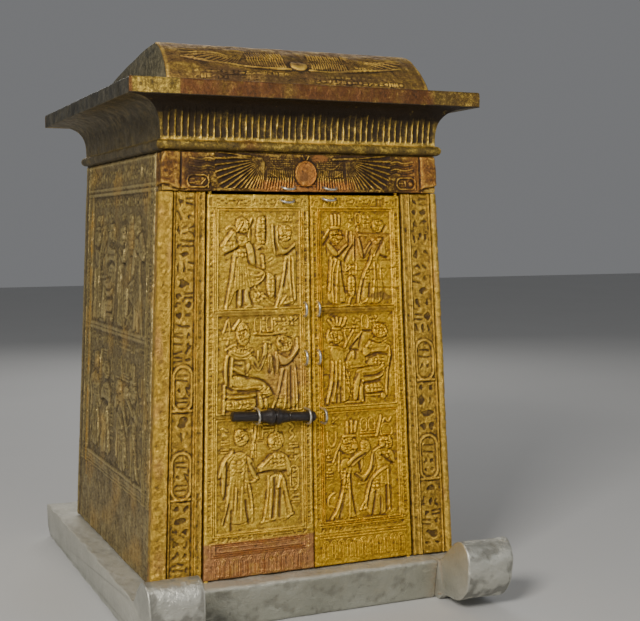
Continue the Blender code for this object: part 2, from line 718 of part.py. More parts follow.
def make_door(side, group, cutters):
    """One door: a thin board that turns on two pins at its outer edge."""
    name = "door_left" if side < 0 else "door_right"
    axis_x = hinge_x(side)
    meeting = MEETING_X + side * MEETING_GAP / 2
    heel = arc((axis_x, HINGE_INSET), HINGE_INSET, 90 - side * 90, 90 - side * 180, 4)
    plan = heel + [(meeting, 0.0), (meeting, DOOR_THICKNESS), (axis_x + side * HINGE_INSET, DOOR_THICKNESS)]
    bm = bmesh.new()
    loft(bm, [[(x, y, z) for x, y in plan] for z in (DOOR_FOOT_Z, DOOR_TOP_Z)])
    door = piece(name, bm, GOLD, group)

    left, right, limits = door_panels(side)
    bm = bmesh.new()
    for low, high in limits:
        add_box(bm, (left, -FIELD_DEPTH, low), (right, FIELD_DEPTH, high))
    combine(door, cutter(f"fields_{name}", bm, cutters), "DIFFERENCE")

    bm = bmesh.new()
    door_scenes(bm, side, left, right, limits)
    foot, band = DOOR_FOOT_Z, DOOR_FOOT_BAND
    bars = 8
    for number in range(bars):
        x = left + (right - left) * (number + 0.5) / bars
        limb(bm, (x, foot + band * 0.08), (x, foot + band * 0.52), STROKE_WIDTH * 2, STROKE_WIDTH * 2, STROKE_PROUD)
    for share in (0.64, 0.76, 0.90):
        stroke(bm, (left, foot + band * share), (right, foot + band * share), STROKE_WIDTH)
    combine(door, cutter(f"carving_{name}", bm, cutters), "UNION")
    lean_front(door)

    bm = bmesh.new()
    add_rod(bm, hinge_point(side, DOOR_TOP_Z - 0.006), hinge_point(side, LINTEL_Z + PIVOT_DEPTH), PIVOT_RADIUS)
    add_rod(bm, hinge_point(side, DECK_Z - PIVOT_DEPTH), hinge_point(side, DOOR_FOOT_Z + 0.006), PIVOT_RADIUS)
    combine(door, cutter(f"pins_{name}", bm, cutters), "UNION")
    move_origin(door, hinge_point(side, DECK_Z))
    return door


def move_origin(made, place):
    """Put a piece's origin at a point without moving the piece."""
    made.data.transform(Matrix.Translation(-Vector(place)))
    made.location = place


def overhang(height_share, reach):
    """How far the cavetto stands out at a share of its height."""
    start = TORUS_OFFSET
    curve = 1.0 - (1.0 - height_share ** CAVETTO_CURVE) ** (1.0 / CAVETTO_CURVE)
    return start + (reach - start) * curve


def make_cornice(group, cutters):
    """The torus roll, the flaring cavetto and the flat slab on top of it."""
    half = HALF_BODY - SIDE_LEAN
    front = FRONT_Y + FRONT_LEAN
    back = BACK_Y - BACK_LEAN
    reaches = (OVERHANG_FRONT, OVERHANG_SIDE, OVERHANG_BACK)

    def ring(z, outs):
        at_front, at_side, at_back = outs
        return [(-half - at_side, front - at_front, z), (half + at_side, front - at_front, z),
                (half + at_side, back + at_back, z), (-half - at_side, back + at_back, z)]

    rings = [ring(CORNICE_Z, (0.0, 0.0, 0.0))]
    for out, z in arc((TORUS_OFFSET, TORUS_Z + TORUS_RADIUS), TORUS_RADIUS, -90, 90, 6):
        rings.append(ring(z, (out, out, out)))
    steps = 10
    shares = [math.sin(math.pi / 2 * (i + 1) / steps) for i in range(steps)]
    for share in shares:
        outs = [overhang(share, reach) for reach in reaches]
        rings.append(ring(CAVETTO_Z + share * CAVETTO_HEIGHT, outs))
    rings.append(ring(SLAB_Z + SLAB_THICKNESS, reaches))
    bm = bmesh.new()
    loft(bm, rings)
    cornice = piece("cornice", bm, GOLD, group)

    bm = bmesh.new()
    count = int(2 * half / RIB_PITCH)
    levels = (0.04, 0.42, 0.70)
    for number in range(count):
        x = (number - (count - 1) / 2) * RIB_PITCH
        sections = []
        for share in levels:
            y = front - overhang(share, OVERHANG_FRONT)
            z = CAVETTO_Z + share * CAVETTO_HEIGHT
            sections.append([(x - RIB_WIDTH / 2, y + RIB_PROUD, z), (x, y - RIB_PROUD, z),
                             (x + RIB_WIDTH / 2, y + RIB_PROUD, z)])
        loft(bm, sections)
    combine(cornice, cutter("ribs", bm, cutters), "UNION")
    return cornice


def make_roof(group):
    """The roof block: a rounded brow in front and a long slope to the back."""
    front = FRONT_Y + FRONT_LEAN - OVERHANG_FRONT + ROOF_FRONT_SETBACK
    back = BACK_Y - BACK_LEAN + OVERHANG_BACK - ROOF_BACK_SETBACK
    ridge = front + ROOF_FRONT_RUN
    outline = [(back, 0.0), (front, 0.0)]
    steps = 9
    for i in range(1, steps + 1):
        across = 1.0 - i / steps
        outline.append((ridge - ROOF_FRONT_RUN * across ** 1.3,
                        (1.0 - (across ** 1.3) ** ROOF_FRONT_CURVE) ** (1.0 / ROOF_FRONT_CURVE)))
    for i in range(1, 10):
        share = i / 10
        outline.append((ridge + (back - ridge) * share, 1.0 - share ** ROOF_BACK_CURVE))

    def end(side):
        return [(side * (ROOF_WIDTH / 2 - ROOF_TAPER * rise), y, ROOF_Z + ROOF_RISE * rise) for y, rise in outline]

    bm = bmesh.new()
    loft(bm, [end(-1), end(1)])
    return piece("roof", bm, GOLD, group)


def bolt_line():
    """The bolt's left end and its direction, drooping a little to the right."""
    along = Vector((math.cos(BOLT_DROOP), 0.0, -math.sin(BOLT_DROOP)))
    right_x = (MEETING_X - MEETING_GAP / 2) * narrow(BOLT_HEIGHT) - BOLT_END_SETBACK
    right_z = BOLT_HEIGHT - math.sin(BOLT_DROOP) * BOLT_LENGTH / 2
    end = Vector((right_x, front_y(BOLT_HEIGHT) - BOLT_STANDOFF, right_z))
    return end - along * BOLT_LENGTH, along


def make_bolt(group):
    """The ebony bolt, turned with a double swelling and a knob at its end."""
    swell, neck, plain = BOLT_SWELL_RADIUS, BOLT_NECK_RADIUS, BOLT_RADIUS
    shares = [(0.0, 0.0), (0.0, plain), (0.337, plain), (0.40, plain * 1.25), (0.46, swell),
              (0.488, swell), (0.504, neck), (0.52, swell), (0.545, swell), (0.60, plain * 1.35),
              (0.67, plain * 1.15), (0.69, plain), (0.945, plain), (0.952, BOLT_KNOB_RADIUS),
              (0.982, BOLT_KNOB_RADIUS), (1.0, plain * 0.6), (1.0, 0.0)]
    mesh = bpy.data.meshes.new("bolt")
    points = [(radius, 0.0, -share * BOLT_LENGTH) for share, radius in shares]
    mesh.from_pydata(points, [(i, i + 1) for i in range(len(points) - 1)], [])
    bolt = bpy.data.objects.new("bolt", mesh)
    bolt.data.materials.append(finish_material("bolt", EBONY))
    group.objects.link(bolt)
    screw = bolt.modifiers.new("turning", "SCREW")
    screw.steps = screw.render_steps = 11
    screw.use_merge_vertices = True
    screw.merge_threshold = 0.00001
    start, along = bolt_line()
    bolt.location = start
    bolt.rotation_mode = "QUATERNION"
    bolt.rotation_quaternion = (-along).to_track_quat("Z", "Y")
    return bolt


def staple_places():
    """Name, x, z, lies flat, holds the bolt and owner of every staple."""
    start, along = bolt_line()
    left_x = MEETING_X - LEFT_STAPLE_INSET
    right_x = MEETING_X + RIGHT_STAPLE_INSET
    lintel_z = LINTEL_Z + LINTEL_STAPLE_RISE
    upper_z = DOOR_TOP_Z - UPPER_STAPLE_DROP
    lower_z = DOOR_TOP_Z - LOWER_STAPLE_DROP
    places = [
        ("staple_lintel_left", SEAL_LEFT_X, lintel_z, True, False, "lintel"),
        ("staple_lintel_right", SEAL_RIGHT_X, lintel_z, True, False, "lintel"),
        ("staple_door_left_top", SEAL_LEFT_X, DOOR_TOP_Z - LEFT_TOP_STAPLE_DROP, True, False, "door_left"),
        ("staple_door_right_top", SEAL_RIGHT_X, DOOR_TOP_Z - RIGHT_TOP_STAPLE_DROP, True, False, "door_right"),
        ("staple_door_left_upper", left_x, upper_z, False, False, "door_left"),
        ("staple_door_left_lower", left_x, lower_z, False, False, "door_left"),
        ("staple_door_right_upper", right_x, upper_z, False, False, "door_right"),
        ("staple_door_right_lower", right_x, lower_z, False, False, "door_right"),
    ]
    for name, share in (("staple_bolt_left", LEFT_STAPLE_SHARE), ("staple_bolt_right", RIGHT_STAPLE_SHARE)):
        point = start + along * share * BOLT_LENGTH
        places.append((name, point.x, point.z, False, True, "door_left"))
    keeper = start + along * ((MEETING_X + KEEPER_INSET - start.x) / along.x)
    places.append(("staple_keeper", keeper.x, keeper.z, False, True, "door_right"))
    return places


def staple_path(holds_bolt):
    """The bent wire's points as (spread, out), feet first."""
    half = STAPLE_SPAN / 2
    rise = STAPLE_RISE
    if holds_bolt:
        room = max(BOLT_RADIUS, BOLT_KNOB_RADIUS) + BOLT_PLAY + WIRE_RADIUS
        half = max(half, room)
        rise = BOLT_STANDOFF + room
    shoulder = min(half * 0.9, rise * 0.8)
    bend = []
    for i in range(5):
        turn = math.pi * i / 4
        bend.append((-math.cos(turn) * half, rise - shoulder + math.sin(turn) * shoulder))
    return [(-half, -STAPLE_LEG)] + bend + [(half, -STAPLE_LEG)]


def make_staples(group, cutters, owners):
    """Silver wire staples, with the holes that their legs are driven into."""
    holes = {}
    for name, x, z, flat, holds_bolt, owner in staple_places():
        surface = front_y(z) - (LINTEL_PROUD if owner == "lintel" else 0.0)
        spread = Vector((1.0, 0.0, 0.0)) if flat else Vector((0.0, 0.0, 1.0))
        out = Vector((0.0, -1.0, 0.0))
        centre = Vector((x, surface, z))
        curve = bpy.data.curves.new(name, "CURVE")
        curve.dimensions = "3D"
        curve.bevel_depth = WIRE_RADIUS
        curve.bevel_resolution = 1
        curve.use_fill_caps = True
        sag = STAPLE_SAG if flat else 0.0
        points = staple_path(holds_bolt)
        lift = points[1][1]
        path = [centre + spread * s + out * o - Vector((0.0, 0.0, sag * max(o - lift, 0.0))) for s, o in points]
        line = curve.splines.new("POLY")
        line.points.add(len(path) - 1)
        for point, place in zip(line.points, path):
            point.co = (*place, 1.0)
        staple = bpy.data.objects.new(name, curve)
        staple.data.materials.append(finish_material(name, SILVER))
        group.objects.link(staple)
        bm = holes.setdefault(owner, bmesh.new())
        for end in (path[0], path[-1]):
            deep = end - out * HOLE_CLEARANCE
            add_rod(bm, deep, deep + out * (STAPLE_LEG * 2.2), WIRE_RADIUS + HOLE_CLEARANCE, 8)
    for owner, bm in holes.items():
        target = owners[owner]
        bm.transform(target.matrix_world.inverted())
        holes_cutter = cutter(f"cut_staple_holes_{owner}", bm, cutters)
        holes_cutter.matrix_world = target.matrix_world
        bpy.context.view_layer.update()
        combine(target, holes_cutter, "DIFFERENCE")


def build():
    """Make every piece of the shrine."""
    clear_scene()
    group = collection("shrine")
    cutters = collection("cutters")
    make_sledge(group, cutters)
    make_body(group, cutters)
    doors = {name: make_door(side, group, cutters) for side, name in ((-1, "door_left"), (1, "door_right"))}
    make_cornice(group, cutters)
    make_roof(group)
    make_bolt(group)
    bpy.context.view_layer.update()
    make_staples(group, cutters, {**doors, "lintel": bpy.data.objects["lintel"]})


build()
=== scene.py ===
import math

import bmesh
import bpy
import numpy as np
from mathutils import Matrix, Vector


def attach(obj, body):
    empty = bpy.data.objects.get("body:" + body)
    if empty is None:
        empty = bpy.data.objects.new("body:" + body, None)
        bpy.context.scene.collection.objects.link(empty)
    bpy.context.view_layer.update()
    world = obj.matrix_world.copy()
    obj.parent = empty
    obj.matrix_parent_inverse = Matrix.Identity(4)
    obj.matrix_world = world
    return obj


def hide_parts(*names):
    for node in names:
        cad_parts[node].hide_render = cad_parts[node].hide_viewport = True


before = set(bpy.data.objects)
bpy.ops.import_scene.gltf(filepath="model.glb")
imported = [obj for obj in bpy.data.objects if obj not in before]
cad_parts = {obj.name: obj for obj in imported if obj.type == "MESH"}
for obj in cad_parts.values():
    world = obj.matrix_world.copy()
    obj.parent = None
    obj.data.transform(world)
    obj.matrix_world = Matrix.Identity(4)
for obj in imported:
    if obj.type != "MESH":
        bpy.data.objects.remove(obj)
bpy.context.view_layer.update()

# The camera stands where the photograph was taken from: a little to the left of the doors, and low.
photo_turn = 0.413626
photo_tip = 0.070023
photo_roll = -0.0033
ahead = Vector((
    math.sin(photo_turn) * math.cos(photo_tip),
    math.cos(photo_turn) * math.cos(photo_tip),
    -math.sin(photo_tip),
))
level = Vector((math.cos(photo_turn), -math.sin(photo_turn), 0.0))
upright = level.cross(ahead)
across = math.cos(photo_roll) * level + math.sin(photo_roll) * upright
over = -math.sin(photo_roll) * level + math.cos(photo_roll) * upright
camera_data = bpy.data.cameras.new("camera")
camera_data.lens = 65.545
camera_data.sensor_width = 36.0
camera = bpy.data.objects.new("camera", camera_data)
camera.matrix_world = Matrix.Translation((-0.402778, -1.084171, 0.342329)) @ Matrix(
    (across, over, -ahead)
).transposed().to_4x4()
bpy.context.scene.collection.objects.link(camera)
bpy.context.scene.camera = camera


# Studio light: one soft lamp high on the left, a weak wide one lower on the right, one behind, and a grey
# room all round.
def soft_lamp(name, place, aim, width, power, colour):
    """Hang a square lamp at a place and turn it to what it lights."""
    lamp = bpy.data.lights.new(name, "AREA")
    lamp.shape = "SQUARE"
    lamp.size = width
    lamp.energy = power
    lamp.color = colour
    stand = bpy.data.objects.new(name, lamp)
    stand.location = place
    stand.rotation_mode = "QUATERNION"
    stand.rotation_quaternion = (Vector(aim) - Vector(place)).to_track_quat("-Z", "Y")
    bpy.context.scene.collection.objects.link(stand)


soft_lamp("lamp_key", (-1.15, -1.25, 1.15), (0.0, -0.10, 0.24), 0.50, 34.0, (1.0, 0.96, 0.90))
soft_lamp("lamp_fill", (1.2, -1.8, 0.7), (0.0, 0.0, 0.2), 1.2, 6.0, (0.95, 0.97, 1.0))
soft_lamp("lamp_back", (0.5, 1.6, 1.3), (0.0, 0.0, 0.25), 1.2, 10.0, (1.0, 0.98, 0.95))
room = bpy.data.worlds.new("studio")
room.use_nodes = True
room.node_tree.nodes["Background"].inputs["Color"].default_value = (0.60, 0.61, 0.63, 1.0)
room.node_tree.nodes["Background"].inputs["Strength"].default_value = 0.30
bpy.context.scene.world = room


# The floor: one plain pale sheet of studio paper, which runs far past the shrine on every side.
def blank_material(name):
    """Return a new material with its tree and its shader."""
    material = bpy.data.materials.new(name)
    material.use_nodes = True
    tree = material.node_tree
    return material, tree, tree.nodes["Principled BSDF"]


def plug(tree, value, socket):
    """Join a socket to another one, or set it to a number or a colour."""
    if isinstance(value, bpy.types.NodeSocket):
        tree.links.new(value, socket)
    else:
        socket.default_value = value


def object_place(tree):
    """Return the object coordinates, on which every pattern here is laid."""
    return tree.nodes.new("ShaderNodeTexCoord").outputs["Object"]


def noise(tree, scale, detail=4.0, roughness=0.55, place=None, distortion=0.0):
    """Return a cloudy pattern from 0 to 1, with its scale in clouds to the metre."""
    node = tree.nodes.new("ShaderNodeTexNoise")
    node.inputs["Scale"].default_value = scale
    node.inputs["Detail"].default_value = detail
    node.inputs["Roughness"].default_value = roughness
    node.inputs["Distortion"].default_value = distortion
    tree.links.new(place or object_place(tree), node.inputs["Vector"])
    return node.outputs["Fac"]


def attribute(tree, name):
    """Return a field of marks that the mesh carries."""
    node = tree.nodes.new("ShaderNodeAttribute")
    node.attribute_name = name
    return node.outputs["Fac"]


def reckon(tree, operation, first, second=0.0, clamp=False):
    """Return the result of one sum."""
    node = tree.nodes.new("ShaderNodeMath")
    node.operation = operation
    node.use_clamp = clamp
    plug(tree, first, node.inputs[0])
    plug(tree, second, node.inputs[1])
    return node.outputs[0]


def spread(tree, value, low, high, new_low=0.0, new_high=1.0):
    """Stretch one range of a value over another, and stop at its ends."""
    node = tree.nodes.new("ShaderNodeMapRange")
    plug(tree, value, node.inputs["Value"])
    for socket, number in (("From Min", low), ("From Max", high), ("To Min", new_low), ("To Max", new_high)):
        node.inputs[socket].default_value = number
    return node.outputs["Result"]


def mingle(tree, share, first, second):
    """Mix two colours by a share."""
    node = tree.nodes.new("ShaderNodeMix")
    node.data_type = "RGBA"
    plug(tree, share, node.inputs[0])
    plug(tree, first if isinstance(first, bpy.types.NodeSocket) else (*first, 1.0), node.inputs[6])
    plug(tree, second if isinstance(second, bpy.types.NodeSocket) else (*second, 1.0), node.inputs[7])
    return node.outputs[2]


def swing(tree, value, amount):
    """Return how far a pattern swings about its middle."""
    return reckon(tree, "MULTIPLY", reckon(tree, "SUBTRACT", value, 0.5), amount)


def coat(tree, shader, colour, roughness, metallic=0.0):
    """Join or set the three main inputs of a shader."""
    plug(tree, colour, shader.inputs["Base Color"])
    plug(tree, roughness, shader.inputs["Roughness"])
    plug(tree, metallic, shader.inputs["Metallic"])


def roughen(tree, shader, value, depth, under=None):
    """Add a bump of that depth in metres, on top of an earlier one."""
    node = tree.nodes.new("ShaderNodeBump")
    node.inputs["Distance"].default_value = depth
    plug(tree, value, node.inputs["Height"])
    if under is not None:
        tree.links.new(under, node.inputs["Normal"])
    tree.links.new(node.outputs["Normal"], shader.inputs["Normal"])
    return node.outputs["Normal"]


floor_mesh = bpy.data.meshes.new("floor")
bm = bmesh.new()
bmesh.ops.create_grid(bm, x_segments=1, y_segments=1, size=6.0)
bm.to_mesh(floor_mesh)
bm.free()
floor = bpy.data.objects.new("floor", floor_mesh)
bpy.context.scene.collection.objects.link(floor)
material, tree, shader = blank_material("studio_paper")
coat(tree, shader, mingle(tree, noise(tree, 3.0), (0.50, 0.50, 0.49), (0.54, 0.54, 0.53)), 0.85)
roughen(tree, shader, noise(tree, 300.0), 0.0002)
floor.data.materials.append(material)


# Two runners of the sledge. Each is a squared wooden bar that turns up in a rounded tip, covered in beaten
# silver sheet, which is dented, wrinkled and gone grey. Corrosion has stained its seams brown.
def waves(seed, count, *axes):
    """Return soft random waves from -1 to 1 over places given in units of one wave."""
    draw = np.random.RandomState(seed)
    total = np.zeros(np.broadcast(*axes).shape)
    for _ in range(count):
        turn = draw.normal(size=len(axes))
        turn *= draw.uniform(0.55, 1.3) * 2 * math.pi / np.linalg.norm(turn)
        total += np.cos(sum(part * axis for part, axis in zip(turn, axes)) + draw.uniform(0, 2 * math.pi))
    return total / math.sqrt(count)


def ramp(value, run):
    """Rise from 0 to 1 while a value goes from 0 to the end of its run."""
    return np.clip(value / run, 0.0, 1.0)


def resample(points, spacing, closed=True):
    """Return points at even steps along a line through the given points."""
    points = np.asarray(points, float)
    line = np.vstack([points, points[:1]]) if closed else points
    run = np.concatenate([[0.0], np.cumsum(np.linalg.norm(np.diff(line, axis=0), axis=1))])
    count = max(int(round(run[-1] / spacing)), 8)
    stations = np.linspace(0.0, run[-1], count + 1)
    if closed:
        stations = stations[:-1]
    return np.stack([np.interp(stations, run, line[:, axis]) for axis in range(line.shape[1])], axis=1)


def bend(centre, radius, start, end, steps):
    """Return points along an arc, with its angles in degrees."""
    turns = np.radians(np.linspace(start, end, steps + 1))
    return [(centre[0] + radius * math.cos(t), centre[1] + radius * math.sin(t)) for t in turns]


def outward(outline):
    """Return the outward directions of a closed outline."""
    side = np.roll(outline, -1, axis=0) - np.roll(outline, 1, axis=0)
    normal = np.stack([side[:, 1], -side[:, 0]], axis=1)
    normal /= np.maximum(np.linalg.norm(normal, axis=1, keepdims=True), 1e-9)
    following = np.roll(outline, -1, axis=0)
    area = np.sum(outline[:, 0] * following[:, 1] - following[:, 0] * outline[:, 1])
    return normal if area > 0 else -normal


def blur(field, reach):
    """Average a field over a square of 2 * reach + 1 places, three times."""
    for _ in range(3):
        for axis in (0, 1):
            padding = [(reach + 1, reach) if a == axis else (0, 0) for a in (0, 1)]
            run = np.cumsum(np.pad(field, padding, mode="edge"), axis=axis)
            first = np.take(run, range(2 * reach + 1, run.shape[axis]), axis=axis)
            last = np.take(run, range(0, run.shape[axis] - 2 * reach - 1), axis=axis)
            field = (first - last) / (2 * reach + 1)
    return field


def skin(name, table, marks, material, body="shrine", shade=75.0, extra=None):
    """Skin one closed sleeve over rows of points, cap its ends and give it its finish.

    marks holds fields of the same size as the table, such as how hollow each place is.
    """
    rows, points = table.shape[:2]
    bm = bmesh.new()
    bmesh.ops.create_grid(bm, x_segments=points, y_segments=rows - 1, size=0.5)
    mesh = bpy.data.meshes.new(name)
    bm.to_mesh(mesh)
    bm.free()
    around = np.concatenate([table, table[:, :1]], axis=1)
    mesh.vertices.foreach_set("co", around.reshape(-1).astype(np.float32))
    for mark, field in marks.items():
        layer = mesh.attributes.new(mark, "FLOAT", "POINT")
        whole = np.concatenate([field, field[:, :1]], axis=1)
        layer.data.foreach_set("value", whole.reshape(-1).astype(np.float32))
    bm = bmesh.new()
    bm.from_mesh(mesh)
    bm.verts.ensure_lookup_table()
    seam = [bm.verts[row * (points + 1) + column] for row in range(rows) for column in (0, points)]
    bmesh.ops.remove_doubles(bm, verts=seam, dist=0.0000005)
    bmesh.ops.edgeloop_fill(bm, edges=[edge for edge in bm.edges if edge.is_boundary])
    if extra is not None:
        extra(bm)
    bmesh.ops.recalc_face_normals(bm, faces=bm.faces)
    bm.to_mesh(mesh)
    bm.free()
    mesh.shade_smooth()
    mesh.set_sharp_from_angle(angle=math.radians(shade))
    mesh.materials.append(material)
    made = bpy.data.objects.new(name, mesh)
    bpy.context.scene.collection.objects.link(made)
    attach(made, body)
    return made


def hollowness(field, reach, depth):
    """How far each place of a relief lies under the places round it: 0.5 is level and 1 is deep."""
    return np.clip(0.5 + (blur(field, reach) - field) / depth, 0.0, 1.0)


def silver_sheet(name, light, dull, grime_and_shade):
    """Old silver: grey, a little green, with brown stains in its hollows and along its seams; its dark colour
    also carries painted shade and painted reflection.
    """
    material, tree, shader = blank_material(name)
    broad = noise(tree, 22.0, 6.0, 0.62, distortion=0.3)
    mottle = noise(tree, 175.0, 8.0, 0.76)
    grain = noise(tree, 620.0, 4.0, 0.6)
    body = mingle(tree, spread(tree, broad, 0.30, 0.72), light, dull)
    body = mingle(tree, spread(tree, mottle, 0.50, 0.80, 0.0, 0.30), body, (0.30, 0.29, 0.22))
    yellowed = spread(tree, noise(tree, 34.0, 6.0, 0.7), 0.58, 0.74, 0.0, 0.14)
    body = mingle(tree, yellowed, body, (0.42, 0.34, 0.16))
    # The hollow mark darkens the silver: tarnish and painted shade in the dents, and the painted reflection
    # on the lower runner tips.
    dark = reckon(tree, "ADD", attribute(tree, "hollow"), swing(tree, mottle, 0.6))
    dark = spread(tree, dark, 0.55, 1.25, 0.0, 0.62)
    body = mingle(tree, dark, body, grime_and_shade)
    rust = reckon(tree, "MULTIPLY", attribute(tree, "stain"), spread(tree, mottle, 0.36, 0.56))
    body = mingle(tree, rust, body, (0.40, 0.22, 0.085))
    settled = reckon(tree, "MULTIPLY", attribute(tree, "dust"), spread(tree, mottle, 0.25, 0.60, 0.35, 0.85))
    body = mingle(tree, settled, body, (0.50, 0.48, 0.40))
    dirty_and_shaded = reckon(tree, "MAXIMUM", settled, reckon(tree, "MAXIMUM", dark, rust))
    rough = spread(tree, mottle, 0.3, 0.7, 0.32, 0.50)
    rough = reckon(tree, "ADD", rough, reckon(tree, "MULTIPLY", dirty_and_shaded, 0.2))
    coat(tree, shader, body, rough, spread(tree, dirty_and_shaded, 0.0, 1.0, 0.82, 0.25))
    under = roughen(tree, shader, grain, 0.00016)
    roughen(tree, shader, noise(tree, 210.0, 7.0, 0.68, distortion=0.9), 0.0011, under)
    return material


deck_z = 0.038
sledge_front = -0.216
sledge_back = 0.216
beam_front = -0.161
runner_inner = 0.121
tip_top_z = 0.0645
fit = 0.0003
runner_silver = silver_sheet("silver_runner", (0.68, 0.67, 0.59), (0.43, 0.43, 0.37), (0.060, 0.056, 0.044))
for side, name in ((-1, "runner_left"), (1, "runner_right")):
    outline = [(sledge_back - 0.0015, 0.0), (sledge_back, 0.0015), (sledge_back, deck_z - 0.002)]
    outline += [(sledge_back - 0.002, deck_z), (beam_front + 0.004, deck_z)]
    outline += [(beam_front - 0.001, deck_z + 0.0006)]
    outline += bend((sledge_front + 0.0173, tip_top_z - 0.0173), 0.0173, 47, 180, 16)
    outline += bend((sledge_front + 0.0294, 0.0066 + 0.0294), 0.0294, 180, 270, 14)
    outline += [(beam_front - 0.0099, 0.0066), (beam_front, 0.0)]
    outline = resample(outline, 0.0022)
    normal = outward(outline)
    stations = np.concatenate([
        [0.0, 0.0003, 0.0009, 0.0018, 0.0030],
        np.linspace(0.0050, 0.0430, 19),
        [0.045, 0.0462, 0.0471, 0.0477, 0.048],
    ])
    rounding = 0.0028
    from_end = np.minimum(stations, stations[-1] - stations)
    inset = rounding - np.sqrt(np.maximum(rounding ** 2 - np.maximum(rounding - from_end, 0.0) ** 2, 0.0))
    y = outline[None, :, 0] - inset[:, None] * normal[None, :, 0]
    z = outline[None, :, 1] - inset[:, None] * normal[None, :, 1]
    reach = runner_inner + stations[:, None] * np.ones_like(y)
    undercut = 0.0035 * (1.0 - z / tip_top_z) * (stations[:, None] / stations[-1])
    x = side * (reach - undercut)
    dent = waves(3 + side, 9, x / 0.022, y / 0.030, z / 0.022) * 0.00045
    dent += waves(13 + side, 9, x / 0.008, y / 0.010, z / 0.009) * 0.00016
    crease = np.exp(-(waves(23 + side, 7, x / 0.05, y / 0.045, z / 0.05) / 0.05) ** 2) * 0.00022
    press = np.abs(waves(33 + side, 6, x / 0.06, y / 0.05, z / 0.04)) * 0.0004
    sink = np.clip(0.0011 + press + crease - dent, 0.0, 0.0030)
    sink = sink * np.clip(from_end / 0.002, 0.15, 1.0)[:, None]
    flat_foot = ramp(z - 0.0004, 0.002)
    y = y - normal[None, :, 0] * sink
    z = z - normal[None, :, 1] * sink * flat_foot
    side_dent = np.clip(0.5 + 0.5 * waves(43 + side, 8, y / 0.03, z / 0.02), 0.0, 1.0) * 0.0012
    x = x - side * side_dent * ramp(stations[:, None] - 0.040, 0.008)
    hollow = 0.5 + (sink - blur(sink, 2)) / 0.0005 + (sink - 0.0016) * 120.0
    # Painted reflection: the lower part of each runner tip is painted darker and mottled, to stand for a dark
    # floor mirrored in the silver. It is added to the hollow mark.
    painted_reflection_top = 0.041 if side < 0 else 0.026
    tip_painted_reflection = ramp(painted_reflection_top - z, 0.008) * ramp(-0.180 - y, 0.012)
    blotch = 0.60 + 0.35 * waves(53 + side, 8, x / 0.007, y / 0.007, z / 0.007)
    hollow = np.clip(hollow + tip_painted_reflection * blotch, 0.0, 1.4)
    near_beam = np.exp(-((y - beam_front + 0.003) / 0.004) ** 2) * (z > 0.006) * (z < deck_z)
    stain = np.clip(near_beam * np.exp(-(stations[:, None] / 0.004) ** 2) * 1.4, 0.0, 1.0) * np.ones_like(x)
    dust = ramp(z - deck_z + 0.0045, 0.002) * (y > beam_front - 0.003)
    marks = {"hollow": hollow, "stain": stain, "dust": dust}
    table = np.stack([x, y, z], axis=2)
    made = skin(name + "_silver", table, marks, runner_silver, shade=60.0)
    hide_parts(name)


# Two cross-beams and the deck of the sledge: boards let in between the runners, covered in the same silver
# sheet. The front beam's face slopes back a little, and its sheet is beaten over the upper edge.
def round_box(low, high, corner, spacing, slope=0.0):
    """Return a closed outline of a box with round corners, whose front leans back at the foot."""
    (y0, z0), (y1, z1) = low, high
    points = bend((y1 - corner, z1 - corner), corner, 0, 90, 3)
    points += bend((y0 + corner, z1 - corner), corner, 90, 180, 3)
    points += bend((y0 + slope + corner, z0 + corner), corner, 180, 270, 3)
    points += bend((y1 - corner, z0 + corner), corner, 270, 360, 3)
    return resample(points, spacing)


def sheeted_bar(name, outline, half, node, seed, spacing, depth, stain_edges):
    """A bar along x, covered in dented silver sheet."""
    normal = outward(outline)
    stations = np.linspace(-half, half, int(2 * half / spacing) + 1)
    x = stations[:, None] * np.ones((1, len(outline)))
    from_end = half - np.abs(stations)
    tuck = 0.0006 * np.clip(1.0 - from_end / 0.0015, 0.0, 1.0)[:, None]
    y, z = outline[None, :, 0] + 0 * x, outline[None, :, 1] + 0 * x
    dent = waves(seed, 9, x / 0.024, y / 0.02, z / 0.015) * 0.4
    dent += waves(seed + 5, 8, x / 0.008, y / 0.009, z / 0.007) * 0.18
    crease = np.exp(-(waves(seed + 9, 7, x / 0.05, y / 0.05, z / 0.05) / 0.06) ** 2) * 0.35
    sink = np.clip((0.5 - dent + crease) * depth, 0.0, depth * 1.8) + tuck
    foot = ramp(z - 0.0004, 0.002)
    y = y - normal[None, :, 0] * sink
    z = z - normal[None, :, 1] * sink * foot
    hollow = np.clip(0.5 + (sink - blur(sink, 2)) / (depth * 0.55), 0.0, 1.0)
    stain = np.clip(np.exp(-(from_end[:, None] / 0.008) ** 2) * stain_edges, 0.0, 1.0) * np.ones_like(x)
    marks = {"hollow": hollow, "stain": stain, "dust": ramp(z - deck_z + 0.0035, 0.002)}
    made = skin(name, np.stack([x, y, z], axis=2), marks, beam_silver, shade=60.0)
    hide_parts(node)


beam_silver = silver_sheet("silver_beam", (0.52, 0.52, 0.44), (0.38, 0.38, 0.31), (0.070, 0.058, 0.036))
beam_half = runner_inner - fit
beam_depth = 0.040
beam_back = beam_front + beam_depth
back_beam_front = sledge_back - beam_depth
sheeted_bar("front_beam_silver", round_box((beam_front, 0.0), (beam_back, deck_z), 0.0034, 0.0016, 0.006),
            beam_half, "sledge_front_beam", 51, 0.0022, 0.0008, 0.35)
sheeted_bar("back_beam_silver", round_box((back_beam_front, 0.0), (sledge_back, deck_z), 0.0018, 0.003),
            beam_half, "sledge_back_beam", 61, 0.003, 0.0008, 1.0)
deck_thickness = 0.012
deck_low, deck_high = (beam_back + fit, deck_z - deck_thickness), (back_beam_front - fit, deck_z)
sheeted_bar("deck_silver", round_box(deck_low, deck_high, 0.0010, 0.005),
            beam_half, "sledge_deck", 71, 0.005, 0.0006, 0.4)


